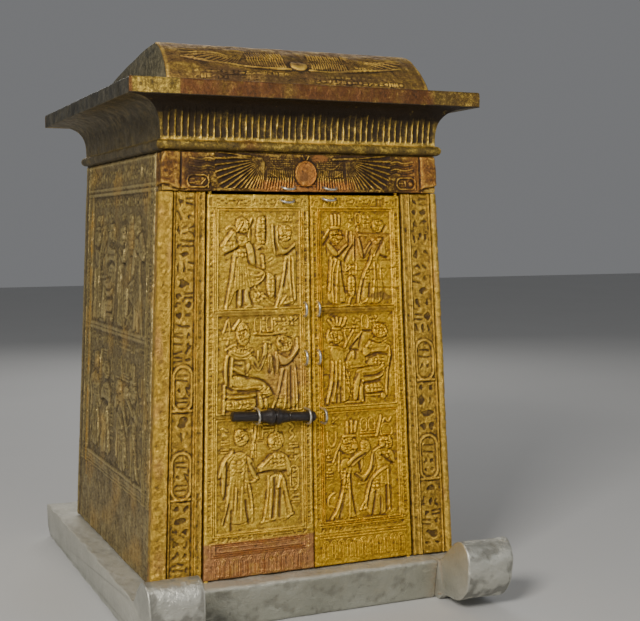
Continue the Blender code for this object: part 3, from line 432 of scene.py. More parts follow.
# The left and right doors, each a thin board overlaid with gesso and thin gold sheet. The scenes were carved
# and then chased into the sheet: three picture fields, columns of signs beside them and a dado at the foot.
def gold_sheet(name, bright, patina, dirt_and_shade_colour, red=(0.40, 0.13, 0.045), rub_and_highlight=0.42, grime_and_shade=0.0, shine=0.86,
               smooth=0.40, crumple=1.0):
    """Gold sheet over carved wood: rubbed bright where it is proud, with painted highlight there, and dark in
    its hollows, which are soiled and carry painted shade.
    """
    material, tree, shader = blank_material(name)
    broad = noise(tree, 26.0, 6.0, 0.62, distortion=0.4)
    mottle = noise(tree, 130.0, 7.0, 0.70)
    flecks = noise(tree, 420.0, 5.0, 0.78)
    grain = noise(tree, 700.0, 3.0, 0.6)
    speckle = reckon(tree, "ADD", swing(tree, mottle, 0.85), swing(tree, flecks, 1.05))
    speckle = reckon(tree, "ADD", speckle, swing(tree, broad, 0.35))
    # Proud places turn bright: rubbed wear and painted highlight. Deep places turn dark: soiling and patina,
    # and painted shade.
    depth = reckon(tree, "ADD", reckon(tree, "ADD", attribute(tree, "hollow"), speckle), grime_and_shade)
    gold = mingle(tree, spread(tree, depth, rub_and_highlight - 0.20, rub_and_highlight + 0.10), bright, patina)
    ruddy = reckon(tree, "MULTIPLY", attribute(tree, "stain"), spread(tree, mottle, 0.30, 0.52, 0.65, 1.0))
    gold = mingle(tree, ruddy, gold, red)
    # The soot_and_shade mark darkens too: real dark patches and cracks, and painted shade in grooves and
    # under overhangs.
    soot_and_shade_share = spread(tree, mottle, 0.30, 0.52, 0.35, 1.0)
    soot_and_shade_share = reckon(tree, "MULTIPLY", attribute(tree, "soot_and_shade"), soot_and_shade_share, True)
    dark = reckon(tree, "MAXIMUM", spread(tree, depth, 0.54, 0.84, 0.0, 0.95), soot_and_shade_share)
    metal = reckon(tree, "SUBTRACT", shine, reckon(tree, "MULTIPLY", dark, shine * 0.70))
    rough = spread(tree, mottle, 0.3, 0.7, smooth - 0.06, smooth + 0.14)
    rough = reckon(tree, "ADD", rough, reckon(tree, "MULTIPLY", dark, 0.20))
    coat(tree, shader, mingle(tree, dark, gold, dirt_and_shade_colour), rough, metal)
    under = roughen(tree, shader, grain, 0.00018 * crumple)
    roughen(tree, shader, noise(tree, 260.0, 6.0, 0.72, distortion=0.8), 0.0011 * crumple, under)
    return material


class Relief:
    """Heights in metres over a flat face, worked like gold sheet over carved wood."""

    def __init__(self, x_low, x_high, z_low, z_high, spacing_x, spacing_z):
        columns = int(round((x_high - x_low) / spacing_x))
        rows = int(round((z_high - z_low) / spacing_z))
        self.step_x = (x_high - x_low) / columns
        self.step_z = (z_high - z_low) / rows
        self.along = np.linspace(x_low, x_high, columns + 1)
        self.up = np.linspace(z_low, z_high, rows + 1)
        self.x, self.z = np.meshgrid(self.along, self.up)
        self.height = np.zeros_like(self.x)
        self.stain = np.zeros_like(self.x)
        self.soot_and_shade = np.zeros_like(self.x)
        self.level = 0.0

    def window(self, across, up, reach_x, reach_z):
        """The part of the face round some places."""
        columns = np.searchsorted(self.along, (min(across) - reach_x, max(across) + reach_x))
        rows = np.searchsorted(self.up, (min(up) - reach_z, max(up) + reach_z))
        return slice(*rows), slice(*columns)

    def inside_box(self, x_low, x_high, z_low, z_high):
        """How far each place lies inside a box."""
        aside = np.minimum(self.x - x_low, x_high - self.x)
        return np.minimum(aside, np.minimum(self.z - z_low, z_high - self.z))

    def form(self, place, inside, top, soft, cut):
        """Raise one form. inside is how far each place lies within its outline."""
        field = self.height[place]
        share = np.clip(inside / soft, 0.0, 1.0)
        rise = self.level + top * np.sqrt(np.clip(1.0 - (1.0 - share) ** 2, 0.0, 1.0))
        field = np.where(inside > 0, np.maximum(field, rise), field)
        self.height[place] = field - cut * np.exp(-(inside / 0.00050) ** 2)

    def oval(self, centre, half_x, half_z, top=0.0012, soft=0.0016, cut=0.00035):
        """Raise an oval form."""
        place = self.window(centre[:1], centre[1:], half_x + 0.002, half_z + 0.002)
        away = np.hypot((self.x[place] - centre[0]) / half_x, (self.z[place] - centre[1]) / half_z)
        self.form(place, (1.0 - away) * min(half_x, half_z), top, soft, cut)

    def near(self, points, reach):
        """The window round a drawn line, and how far each place in it lies from the line."""
        across, up = zip(*points)
        place = self.window(across, up, reach, reach)
        away = np.full(self.x[place].shape, 1.0)
        for (x0, z0), (x1, z1) in zip(points, points[1:]):
            x, z = self.x[place] - x0, self.z[place] - z0
            dx, dz = x1 - x0, z1 - z0
            share = np.clip((x * dx + z * dz) / max(dx * dx + dz * dz, 1e-12), 0.0, 1.0)
            away = np.minimum(away, np.hypot(x - share * dx, z - share * dz))
        return place, away

    def line(self, points, width, depth):
        """Chase a line through points: a ridge where depth is above 0, and a groove where it is below."""
        place, away = self.near(points, width * 1.6)
        mark = depth * np.exp(-(away / (width / 2)) ** 2)
        field = self.height[place]
        if depth > 0:
            field = np.minimum(field + mark, np.maximum(field, self.level + 0.0024))
            mark = -0.35 * depth * np.exp(-((away - width) / (width * 0.32)) ** 2)
        elif depth < -0.0006:
            # Deep grooves are darkened along their beds: soiling and painted shade together.
            groove_dirt_and_shade = np.exp(-(away / (width * 0.55)) ** 2) * min(1.0, -depth / 0.0013)
            self.soot_and_shade[place] = np.maximum(self.soot_and_shade[place], groove_dirt_and_shade)
        self.height[place] = field + mark

    def within(self, points):
        """The window round a drawn outline, and how far each place in it lies inside the outline."""
        closed = points + points[:1]
        place, away = self.near(closed, 0.002)
        within = np.zeros(away.shape, dtype=bool)
        x, z = self.x[place], self.z[place]
        for (x0, z0), (x1, z1) in zip(closed, closed[1:]):
            if z0 != z1:
                within ^= ((z0 > z) != (z1 > z)) & (x < (x1 - x0) * (z - z0) / (z1 - z0) + x0)
        return place, np.where(within, away, -away)

    def shape(self, points, top, soft, cut):
        """Raise a form with a drawn outline."""
        self.form(*self.within(points), top, soft, cut)

    def sink(self, points, depth):
        """Cut a form with a drawn outline down into the sheet, its bed soiled and darkened with painted
        shade.
        """
        place, inside = self.within(points)
        share = np.clip(inside / 0.0006 + 0.3, 0.0, 1.0)
        self.height[place] -= depth * share
        self.soot_and_shade[place] = np.maximum(self.soot_and_shade[place], 0.85 * share)

    def frame(self, x_low, x_high, z_low, z_high, width, depth):
        """Chase the four sides of a box."""
        corners = [(x_low, z_low), (x_high, z_low), (x_high, z_high), (x_low, z_high), (x_low, z_low)]
        self.line(corners, width, depth)

    def name_ring(self, centre, half_x, half_z, width, depth, lying=False):
        """A long oval ring with round ends and a bar across its foot."""
        short, long = (half_z, half_x) if lying else (half_x, half_z)
        straight = max(long - short, 0.0)
        points = []
        for turn in np.linspace(0.0, 2 * math.pi, 25):
            a, b = short * math.cos(turn), short * math.sin(turn)
            b += math.copysign(straight, math.sin(turn) + 1e-9)
            points.append((centre[0] + (b if lying else a), centre[1] + (a if lying else b)))
        self.line(points, width, depth)
        right, foot = centre[0] + half_x, centre[1] - half_z
        bar = [(centre[0] - half_x, foot), (right, foot)]
        if lying:
            bar = [(right, foot), (right, centre[1] + half_z)]
        self.line(bar, width, depth)

    def ease(self, edge, reach=0.0014):
        """Round the sheet off over an edge, given how far each place lies from it."""
        self.height -= 0.0006 * np.clip(1.0 - edge / reach, 0.0, 1.0) ** 2

    def patch(self, field, x, z, half_x, half_z, amount, ragged=0.5, seed=1):
        """Paint a soft, ragged patch into a field of stains."""
        edge = np.hypot((self.x - x) / half_x, (self.z - z) / half_z)
        edge = edge + ragged * 0.4 * waves(seed, 8, self.x / 0.012, self.z / 0.012)
        np.maximum(field, amount * ramp(1.25 - edge, 0.5), out=field)


SMALL_SIGNS = {
    0: ((1.2, (-1, 0), (1, 0)),),
    1: ((1, (-0.8, -1), (-0.8, 1)), (1, (0, -1), (0, 1)), (1, (0.8, -1), (0.8, 1))),
    2: ((0, (-0.2, 0), (0.2, 0)),),
    3: ((1, (-1, -0.6), (1, -0.6)), (1, (-1, 0.6), (1, 0.6))),
    4: ((1, (-1, -1), (1, 0.6)), (1.6, (-0.5, 0.6), (-0.3, 0.6))),
    6: ((1, (-1, -0.6), (0, -0.9), (1, -0.6)), (1.5, (-0.2, 0.6), (0.2, 0.6))),
}


def signs(relief, x_low, x_high, z_low, z_high, columns, rows, seed, width=0.0009, depth=0.0006):
    """Fill a space with rows of strokes and dots that stand for an inscription. None is a letter."""
    draw = np.random.RandomState(seed)
    cell_x, cell_z = (x_high - x_low) / columns, (z_high - z_low) / rows
    for row in range(rows):
        for column in range(columns):
            x = x_low + (column + 0.5 + draw.uniform(-0.08, 0.08)) * cell_x
            z = z_high - (row + 0.5 + draw.uniform(-0.08, 0.08)) * cell_z
            w, h = cell_x * 0.36, cell_z * 0.34
            kind = draw.randint(7)
            if kind == 5:
                curl = [(x + w * u, z + h * v) for u, v in draw.uniform(-1.0, 1.0, (4, 2))]
                relief.line(rounded(curl, False), width, depth)
            for share, *points in SMALL_SIGNS.get(kind, ()):
                thick = width * share if share else max(min(w, h) * 1.5, width)
                relief.line([(x + w * u, z + h * v) for u, v in points], thick, depth)


STROKES = {
    "body": 0.0008, "limb": 0.0013, "head": 0.0012, "edge": (0.0019, 0.0013), "ridge": (0.0014, 0.0009),
    "fine": (0.0010, 0.0006), "cut": (0.0011, -0.0007), "gouge": (0.0022, -0.0013),
}


def rounded(points, closed):
    """Take the corners off a drawn line, as a tool does when it follows a curve."""
    for _ in range(2):
        pairs = list(zip(points, points[1:] + points[:1] if closed else points[1:]))
        cut = [(a * s + c * (1 - s), b * s + d * (1 - s)) for (a, b), (c, d) in pairs for s in (0.75, 0.25)]
        points = cut if closed else [points[0]] + cut + [points[-1]]
    return points


def carve_head(relief, points, scale, inward):
    """Give a head a wig of curls, a brow band, and a plain calm cheek on the side that it faces."""
    across, up = zip(*points)
    x, z = (min(across) + max(across)) / 2, (min(up) + max(up)) / 2
    half_x, half_z = (max(across) - min(across)) / 2, (max(up) - min(up)) / 2
    left, right, tilt = x - half_x * 0.8, x + half_x * 0.8, 0.25 * half_z
    for step in (-0.6, -0.3, 0.0, 0.3, 0.6):
        curl_x, curl_z = x + step * half_x, z + step * half_z
        relief.line([(left, curl_z - tilt), (right, curl_z + tilt)], 0.0009 * scale, -0.0006)
        crossing = [(curl_x + tilt, z - half_z * 0.8), (curl_x - tilt, z + half_z * 0.8)]
        relief.line(crossing, 0.0009 * scale, -0.0006)
    cheek = (x + inward * half_x * 0.55, z - half_z * 0.1)
    relief.oval(cheek, half_x * 0.40, half_z * 0.34, 0.0020 * scale, 0.0012)
    relief.line([(left, z + half_z * 0.45), (right, z + half_z * 0.45)], 0.0010 * scale, 0.0006)


def carve_picture(relief, sheet, strokes, left, right, low, high, seed, mirror=False):
    """Carve a drawing into a picture field. The corners of its sheet go to the field's corners."""
    x0, y0, x1, y1 = sheet
    scale = min((right - left) / 0.070, 1.4)
    if mirror:
        x0, x1 = x1, x0

    def at(x, y):
        return left + (x - x0) / (x1 - x0) * (right - left), high - (y - y0) / (y1 - y0) * (high - low)

    for number, (kind, *drawn) in enumerate(strokes):
        points = [at(x, y) for x, y in zip(drawn[::2], drawn[1::2])]
        if kind in ("body", "limb", "head"):
            relief.shape(rounded(points, True), STROKES[kind] * scale, 0.0012 * scale, 0.00045)
            if kind == "head":
                carve_head(relief, points, scale, 1 if points[0][0] < (left + right) / 2 else -1)
        elif kind == "fan":
            (a, b), (c, d), (e, f), (g, h) = points[:4]
            folds = int(drawn[8])
            for fold in range(folds + 1):
                s = fold / folds
                feather = [(a + (c - a) * s, b + (d - b) * s), (e + (g - e) * s, f + (h - f) * s)]
                relief.line(feather, 0.0010 * scale, -0.00045)
        elif kind == "signs":
            (a, c), (b, d) = map(sorted, zip(*points[:2]))
            signs(relief, a, c, b, d, drawn[4], drawn[5], seed + number, 0.0011 * scale, 0.0008)
        elif kind == "ring":
            (a, b), (c, d) = points
            centre = ((a + c) / 2, (b + d) / 2)
            relief.name_ring(centre, abs(c - a) / 2, abs(d - b) / 2, 0.0010 * scale, 0.0008)
        else:
            width, depth = STROKES[kind]
            relief.line(rounded(points, False), width * scale, depth)


# The six pictures on the doors, each drawn on its own sheet with x to the right and y down. The walls
# repeat them.
def drawing(sheet, strokes):
    """Read a drawing: its sheet's left, top, right and bottom, and the kind and places of each stroke."""
    return sheet, [(kind, *map(int, places)) for kind, *places in map(str.split, strokes.split(","))]


offering = drawing((24, 11.5, 139.5, 152.5), """
body 46 66 62 62 64 80 66 90 80 94 91 100 88 112 76 120 62 126 46 127 40 150 36 150 43 112,
body 51 124 58 124 57 151 50 151, body 60 122 69 122 68 134 73 149 60 150,
limb 46 38 40 44 31 58 28 66 33 73 42 70 50 64 53 57 49 46, limb 61 56 69 56 74 68 77 90 69 90 64 74,
body 52 46 64 46 66 58 56 64 48 58, head 49 23 55 20 63 22 67 29 66 40 59 45 51 41 47 33,
edge 47 70 44 92 42 112 38 132 35 152, edge 43 41 36 50 28 62, gouge 33 75 38 71 44 69, gouge 47 49 51 57,
ridge 50 40 46 35 40 33 35 37, ridge 51 39 57 27, ridge 55 41 61 29, ridge 64 27 64 42,
fine 51 49 57 54 65 50, fine 51 54 58 59 66 54, cut 48 66 55 63 62 65, signs 32 56 47 66 4 2,
signs 48 66 63 78 4 2, fan 47 92 66 92 45 124 70 120 6, ridge 66 94 78 98 90 100 88 110 76 120,
ridge 70 104 80 106 86 102, fine 72 112 82 110, gouge 67 131 70 142 73 149, ridge 62 151 72 149 86 152,
gouge 51 128 50 150, gouge 58 128 58 150, ridge 71 22 68 32 66 44 67 56, gouge 73 26 69 34,
cut 71 32 71 52, gouge 74 60 76 78 78 92, body 79 20 90 17 92 30 91 50 91 60 79 60 76 46 77 32,
signs 78 20 91 60 2 7, gouge 91 20 91 56, ridge 79 66 86 60 91 66, cut 80 67 92 67, edge 86 77 88 94,
ridge 88 86 94 86 101 80, cut 89 87 99 84, ridge 101 32 102 54 105 72, gouge 104 34 104 54 107 72,
limb 92 100 100 103 105 112 104 132 98 141 93 134 91 118, signs 93 106 103 136 2 5,
ridge 75 122 82 134 93 138, ridge 88 134 94 144 102 148, ridge 84 140 90 136, gouge 105 106 105 140,
signs 74 130 88 146 3 2, signs 111 17 130 27 5 1, cut 111 28 129 28,
head 110 33 119 30 128 35 129 46 124 56 114 56 109 45, signs 111 34 127 54 3 3,
body 121 74 134 62 136 80 136 150 118 150 108 150 116 118 120 92,
limb 106 58 111 57 115 66 122 68 131 60 135 55 134 64 124 75 112 76, gouge 107 77 119 77 132 66,
ridge 108 42 107 58 112 74, edge 121 78 119 96 115 116 112 132 106 152,
ridge 125 78 124 104 127 128 128 144, ridge 130 80 130 112 133 142, gouge 122 84 120 104 117 122,
ridge 128 144 118 147, ridge 110 151 120 136, cut 128 84 128 140, cut 134 84 136 146
""")
plumes = drawing((8.5, 11, 119.5, 150), """
edge 26 17 27 31, edge 32 17 32 31, edge 38 17 37 31, limb 23 32 39 32 38 38 24 38,
head 22 42 28 38 38 39 43 45 42 52 36 59 28 59 21 52, signs 23 40 42 52 4 2, ring 27 52 34 60,
ridge 21 38 13 50, gouge 21 49 13 60, limb 14 56 20 56 36 72 33 79 24 74,
limb 33 72 44 62 50 57 52 61 44 70 36 80, gouge 34 79 43 69 52 62, cut 17 60 18 76,
gouge 46 84 51 73 59 62, ridge 43 80 48 70 56 60, ridge 50 40 49 50 51 56, gouge 53 42 52 56,
body 24 78 36 80 42 100 46 140 44 148 16 148 18 120 21 95, edge 24 80 22 98 20 128,
ridge 32 82 26 96 24 120 26 146, ridge 36 84 33 102 31 126 31 148, gouge 40 86 41 112 45 130,
cut 28 98 27 146, cut 36 100 36 146, ridge 26 147 40 149 50 150,
limb 50 108 56 105 61 112 61 130 57 140 50 134 48 120, signs 50 108 60 136 2 5, ridge 46 100 54 94 60 92,
signs 45 90 62 106 3 2, ridge 61 48 60 66 60 86, gouge 63 50 62 84, ridge 57 42 58 58, ridge 64 90 63 104,
cut 62 108 63 148, ridge 50 150 54 138 58 138, signs 52 15 60 35 1 3, ring 64 14 72 30,
signs 65 32 71 42 1 2, signs 76 16 88 36 2 3, head 90 26 98 22 107 24 111 32 108 41 98 43 91 37,
signs 91 25 107 40 3 2, gouge 107 40 113 32, cut 70 43 120 45, ridge 70 46 84 47, cut 66 85 124 84,
body 86 54 100 50 108 50 106 72 96 84 104 96 110 150 66 150 72 112 80 92 88 76,
limb 65 50 70 50 76 70 82 62 88 54 92 60 82 76 75 82 70 78, gouge 71 52 74 66 76 78,
gouge 76 80 84 64 90 58, limb 104 52 110 50 113 80 108 80 100 74, gouge 109 51 102 62 95 74,
ridge 106 56 96 70 92 78, signs 90 50 106 60 4 2, gouge 103 76 113 80,
edge 88 78 84 90 76 102 72 116 65 146, ridge 92 88 93 104 91 122 88 146, gouge 74 112 70 134,
ridge 103 94 102 112, cut 105 118 106 142, signs 76 98 84 118 2 4, cut 96 90 97 144, gouge 84 120 82 140,
ridge 60 151 78 146 84 136, fan 98 100 104 100 98 144 108 144 3
""")
cushioned = drawing((21.5, 5.5, 138, 145), """
ridge 34 12 31 22 29 29, ridge 36 10 38 28, cut 30 28 48 27, ridge 30 37 42 37, ridge 36 38 34 46,
ring 73 8 82 31, ring 90 8 98 29, signs 83 9 89 30 1 4, signs 100 8 136 22 6 2, ridge 72 32 96 34 118 30,
cut 74 35 96 36 112 34, head 46 26 51 14 60 15 66 25 66 40 60 49 51 48 47 38, edge 43 24 47 18 51 12,
signs 48 20 62 34 3 2, ridge 49 36 54 46 60 49, body 34 56 44 52 62 56 70 58 66 84 60 92 40 90 32 96,
ridge 32 54 40 48 47 47, ridge 37 54 47 62 58 64 70 55, fine 39 50 48 58 58 60 67 53,
fine 36 59 47 67 59 69 70 61, signs 44 50 64 58 6 1, limb 32 60 38 60 36 84 35 106 31 106 29 80,
edge 41 67 40 86 40 106, gouge 37 66 35 84 37 104, gouge 44 70 58 70, gouge 46 76 56 78,
edge 43 81 52 87 62 92, gouge 44 86 54 92 62 95,
limb 62 66 72 62 79 78 84 64 85 46 91 45 90 66 80 90 74 84 68 74, gouge 72 74 78 86 86 66,
ridge 78 58 77 72, gouge 60 72 60 90, ridge 86 44 90 44 96 46, cut 92 46 93 56, cut 96 46 97 54,
limb 91 62 98 62 97 90 92 90, gouge 94 68 94 90, limb 100 58 107 58 107 92 101 92, gouge 101 70 102 92,
body 40 90 56 93 70 96 84 100 94 109 101 122 88 125 76 112 60 111 40 108,
gouge 62 96 76 97 86 101 94 110 100 121, fan 42 92 58 94 46 108 80 110 7, gouge 50 114 64 116 79 116,
gouge 34 108 42 112, ridge 42 110 60 112 80 109, signs 78 108 96 122 3 2, body 31 119 75 119 75 145 31 145,
edge 31 121 52 123 75 121, cut 32 126 74 126, signs 34 127 72 142 7 1, cut 32 143 74 143,
gouge 76 120 76 145, edge 31 106 30 145, limb 78 124 84 124 85 143 79 143,
limb 86 126 91 126 92 143 87 143, cut 79 128 92 126, ridge 78 144 96 145, signs 106 24 122 35 4 1,
head 104 40 112 35 124 39 129 50 123 60 110 60 103 51, gouge 109 44 113 50, signs 110 40 126 56 3 2,
body 113 76 130 70 134 110 135 145 98 145 106 116 111 96,
limb 104 60 110 64 120 70 130 60 135 48 137 56 130 72 120 80 109 81, edge 134 42 134 54 126 66,
gouge 109 82 121 80 135 63, edge 113 84 110 102 106 120 98 146, gouge 114 88 110 110 103 134 100 145,
ridge 117 90 116 112 116 132 113 146, gouge 124 82 124 112 124 145, ridge 130 76 132 112 133 145,
cut 120 92 119 144, signs 104 122 112 142 1 3, ridge 127 90 128 145
""")
chair = drawing((12.5, 4.5, 117, 147), """
edge 22 16 28 25, edge 28 14 31 24, edge 34 13 34 24, edge 40 14 37 24, edge 47 13 41 25,
limb 25 26 40 26 38 32 27 32, head 21 36 26 31 38 31 43 38 41 47 34 53 26 50 20 47, signs 23 33 40 48 3 3,
edge 22 32 19 40 21 48, signs 42 17 50 34 2 2, ridge 44 58 50 46 56 36 60 26,
ridge 50 66 58 50 66 40 71 34, ridge 46 30 44 38 48 46 44 58, gouge 52 60 58 52 64 46,
gouge 70 38 67 50 66 58, gouge 46 78 50 68 53 62, gouge 54 62 64 63, ridge 57 64 57 74, gouge 61 66 60 76,
cut 38 67 48 63, signs 56 9 68 24 2 1, ring 70 9 80 31, signs 82 10 94 22 3 2, signs 50 24 66 36 3 2,
gouge 72 33 82 34, head 86 28 92 22 100 22 108 30 108 40 100 46 90 44 85 36, signs 86 24 106 42 4 3,
ridge 88 24 98 24 106 34 109 44, body 78 58 84 50 96 54 107 52 110 74 108 92 102 94 84 92 74 84,
fine 84 51 95 57 107 50, fine 86 47 96 53 106 46, edge 82 52 76 60, ridge 78 66 92 65 106 66 108 58,
gouge 76 74 84 71 94 68 106 72, ridge 77 79 88 74 100 74, limb 71 58 80 60 84 66 78 72 72 74 70 66,
cut 78 62 92 60 106 60, gouge 76 82 80 76 90 72, signs 82 76 102 88 4 2, cut 56 91 76 90 92 86,
ridge 54 89 72 88, body 60 94 72 90 88 90 102 84 104 96 98 108 72 110 64 108 60 104,
ridge 70 97 90 97 101 88, gouge 72 104 90 104 99 98, ridge 70 110 88 110 99 102, gouge 70 115 96 112,
edge 110 60 111 74 108 92 105 118 104 134, gouge 113 76 108 100 106 126, body 72 116 99 114 100 130 72 132,
signs 74 116 97 130 4 2, cut 72 132 99 130, limb 95 132 101 131 104 138 99 143 95 139, ridge 72 134 94 134,
limb 62 96 68 100 63 120 61 141 54 141 56 118 58 104, gouge 62 100 58 108, edge 70 112 68 126 69 142,
limb 64 118 69 118 69 142 63 142, gouge 72 118 72 142, ridge 44 143 68 143, ridge 42 140 48 137,
body 22 54 36 55 44 62 42 78 45 100 52 136 40 144 18 142 24 112 24 80, ridge 22 56 34 57 44 62,
cut 24 64 26 78, edge 26 80 24 110 18 142, ridge 31 80 31 110 25 140, ridge 37 78 37 102 33 128,
ridge 43 82 42 112 42 140, gouge 34 110 31 142, gouge 28 112 22 138, ridge 46 96 50 112 48 126 52 134,
signs 44 96 52 116 1 3, gouge 37 120 37 142, cut 13 99 22 99, signs 46 80 54 92 2 2
""")
standing = drawing((12, 4, 85, 106), """
signs 14 8 22 34 1 4, head 27 14 32 11 38 15 39 22 35 28 28 27 26 20, signs 27 14 37 24 2 2,
body 22 34 34 32 38 38 38 56 42 72 43 99 17 99 20 80 23 58,
limb 24 32 28 35 21 44 20 58 19 74 16 74 15 52 17 40, edge 25 32 17 40 14 54, gouge 20 42 20 58 18 75,
ridge 22 64 20 84 17 98, gouge 22 80 18 98, fine 26 35 31 39 37 34, signs 24 40 37 54 3 2,
limb 36 38 41 38 46 52 48 58 44 60 40 52, gouge 41 44 46 55, ridge 42 14 43 24 42 36, ridge 45 10 44 24,
signs 40 26 46 40 1 2, cut 37 42 35 54 35 64, fan 25 58 37 58 22 86 40 86 5, ridge 28 66 27 90,
ridge 33 66 32 96, ridge 39 64 42 80 42 98, gouge 36 78 37 90 39 99, gouge 24 86 24 104,
ridge 36 60 42 62 47 58, ridge 45 9 44 22, ridge 52 9 60 9, ridge 52 12 60 12, ridge 52 15 60 15,
ridge 63 8 63 18, ring 47 9 51 22, cut 45 25 51 25, head 56 20 62 16 69 19 70 28 65 34 58 34 55 27,
signs 57 18 68 32 3 2, signs 53 16 61 20 4 1, limb 49 48 56 40 62 35 70 37 75 44 75 53 64 55 54 52 47 54,
edge 48 49 58 39, gouge 46 55 56 52 72 54, signs 57 38 70 50 4 3, limb 70 37 75 44 76 56 72 60 71 46,
body 56 56 70 56 73 76 77 94 72 99 50 99 54 80, ridge 56 58 55 76 52 98, gouge 61 60 61 78 59 96,
edge 67 57 64 68, edge 68 58 71 76 76 94, gouge 66 70 65 96, ridge 63 72 62 97, cut 69 72 72 94,
ridge 58 70 57 97, ridge 50 100 60 98, ridge 70 99 77 94, ridge 74 9 79 13 74 17 79 21 75 25,
signs 74 27 83 46 2 3, ring 75 50 82 72, signs 76 52 81 70 1 4, signs 76 74 84 86 1 2, cut 14 56 17 56
""")
leaning = drawing((11, 2.5, 81, 105), """
signs 18 6 24 18 1 2, ridge 14 20 14 30 18 35 22 30 22 20, signs 12 36 19 66 1 5,
ridge 20 78 14 82 13 90 19 92, edge 33 12 33 22, edge 37 11 37 22, edge 42 12 40 21,
limb 27 23 42 23 41 27 28 27, head 27 30 31 26 38 26 43 32 42 39 36 43 29 41 26 36, signs 28 27 41 38 3 2,
ridge 29 26 24 36 19 49, ridge 25 40 24 58,
body 26 46 36 46 36 60 36 80 40 100 40 104 16 104 22 92 28 76 25 60,
limb 30 52 36 46 46 39 52 38 53 43 44 49 36 56, gouge 34 55 40 48 50 43, ridge 46 46 47 54 44 60,
gouge 44 52 45 60, edge 30 58 28 76 22 94 17 103, ridge 33 62 28 82 25 102, ridge 34 60 34 82 33 104,
gouge 35 62 36 80 39 100, gouge 29 80 24 102, signs 27 56 34 76 2 4, ridge 28 104 40 106,
limb 45 31 50 29 54 33 55 40 50 43 45 40, signs 45 30 54 41 2 2, ring 46 9 52 21, ring 54 9 60 21,
ridge 46 23 60 23, ridge 46 26 60 26, cut 53 28 63 28, edge 66 8 64 18 61 27, ridge 67 15 70 9 73 15 76 10,
ring 65 19 77 26, head 63 30 69 27 76 30 77 37 71 42 64 39, signs 63 28 76 40 4 3, edge 58 42 63 38 67 36,
body 58 42 66 38 78 42 78 52 71 57 72 78 72 104 48 104 50 82 54 68 62 58 60 50,
limb 56 42 60 42 59 56 52 68 47 71 39 63 41 60 47 65 54 56, gouge 58 44 57 58 49 69, gouge 40 62 46 68,
ridge 43 72 50 71, gouge 66 46 71 51 77 55, limb 70 40 77 42 79 54 75 54,
edge 70 57 61 62 54 70 50 84 49 95, signs 62 42 73 50 3 2, gouge 56 68 52 84 50 94, signs 55 66 67 82 3 4,
gouge 59 80 57 92 55 103, limb 60 84 66 84 66 104 61 104, ridge 71 57 71 78 72 100, gouge 69 76 69 100,
ridge 44 97 50 96, ridge 47 106 58 105 68 106, ridge 48 90 44 97, gouge 63 86 63 102, cut 74 58 74 100
""")


half_body = 0.1455
body_rise = 0.3697
side_lean = 0.016
front_plane = -0.142
front_lean = 0.009


def risen(z):
    """How far a height lies up the shrine's body, from 0 at the deck to 1 under the cornice."""
    return (z - deck_z) / body_rise


def leaned(x, y, z):
    """Lean a place on the upright front plane, where y = 0, as the shrine's body leans."""
    share = risen(z)
    return np.stack([
        x * (1.0 - side_lean / half_body * share), front_plane + front_lean * share + y, z + 0.0 * x,
    ], axis=-1)


def board_table(relief, thickness, place):
    """Make rows of points all round a board: its worked face, its two edges and its plain back."""
    front_y = -relief.height
    left, right = relief.along[0], relief.along[-1]
    shares = (0.35, 0.75)
    pieces = [place(relief.x, front_y, relief.z)]
    edge_right = [(right, front_y[:, -1] * (1 - s) + thickness * s) for s in shares]
    back = [(right, thickness), (right * 0.5 + left * 0.5, thickness), (left, thickness)]
    edge_left = [(left, front_y[:, 0] * (1 - s) + thickness * s) for s in shares[::-1]]
    for x, y in edge_right + back + edge_left:
        pieces.append(place(x + 0.0 * relief.up, y + 0.0 * relief.up, relief.up)[:, None, :])
    return np.concatenate(pieces, axis=1)


def board_marks(relief, extra, reach=2, depth=0.0010, bare=0.0):
    """Return the marks of a board, with as many more points as its plain sides and its back have."""
    # The hollow mark darkens deep places with soiling and painted shade; the wide term spreads the painted
    # shade further round the relief.
    fine = hollowness(relief.height, reach, depth)
    wide = hollowness(relief.height, 3 * reach, 1.4 * depth)
    hollow = 0.5 + 0.60 * (0.75 * fine + 0.25 * wide - 0.5)
    beyond = ((0, 0), (0, extra))
    return {
        "hollow": np.pad(hollow - 0.30 * bare, beyond, constant_values=0.5),
        "stain": np.pad(relief.stain * (1.0 - bare), beyond),
        "soot_and_shade": np.pad(relief.soot_and_shade, beyond),
    }


def worn_sheet(relief, seed, amount=1.0):
    """Dent and crease the sheet, and soften its edges."""
    x, z = relief.x, relief.z
    dent = waves(seed, 9, x / 0.030, z / 0.030) * 0.00022
    dent += waves(seed + 1, 9, x / 0.010, z / 0.011) * 0.00009
    crease = np.exp(-(waves(seed + 2, 8, x / 0.045, z / 0.035) / 0.035) ** 2) * 0.00028
    crease += np.exp(-(waves(seed + 3, 8, x / 0.030, z / 0.050) / 0.030) ** 2) * 0.00018
    crumple = waves(seed + 4, 9, x / 0.0045, z / 0.0040) * 0.00010
    crumple += waves(seed + 5, 9, x / 0.0085, z / 0.0022) * 0.00006
    relief.height += amount * (dent + crumple - crease)
    relief.ease(relief.inside_box(relief.along[0], relief.along[-1], relief.up[0], relief.up[-1]))


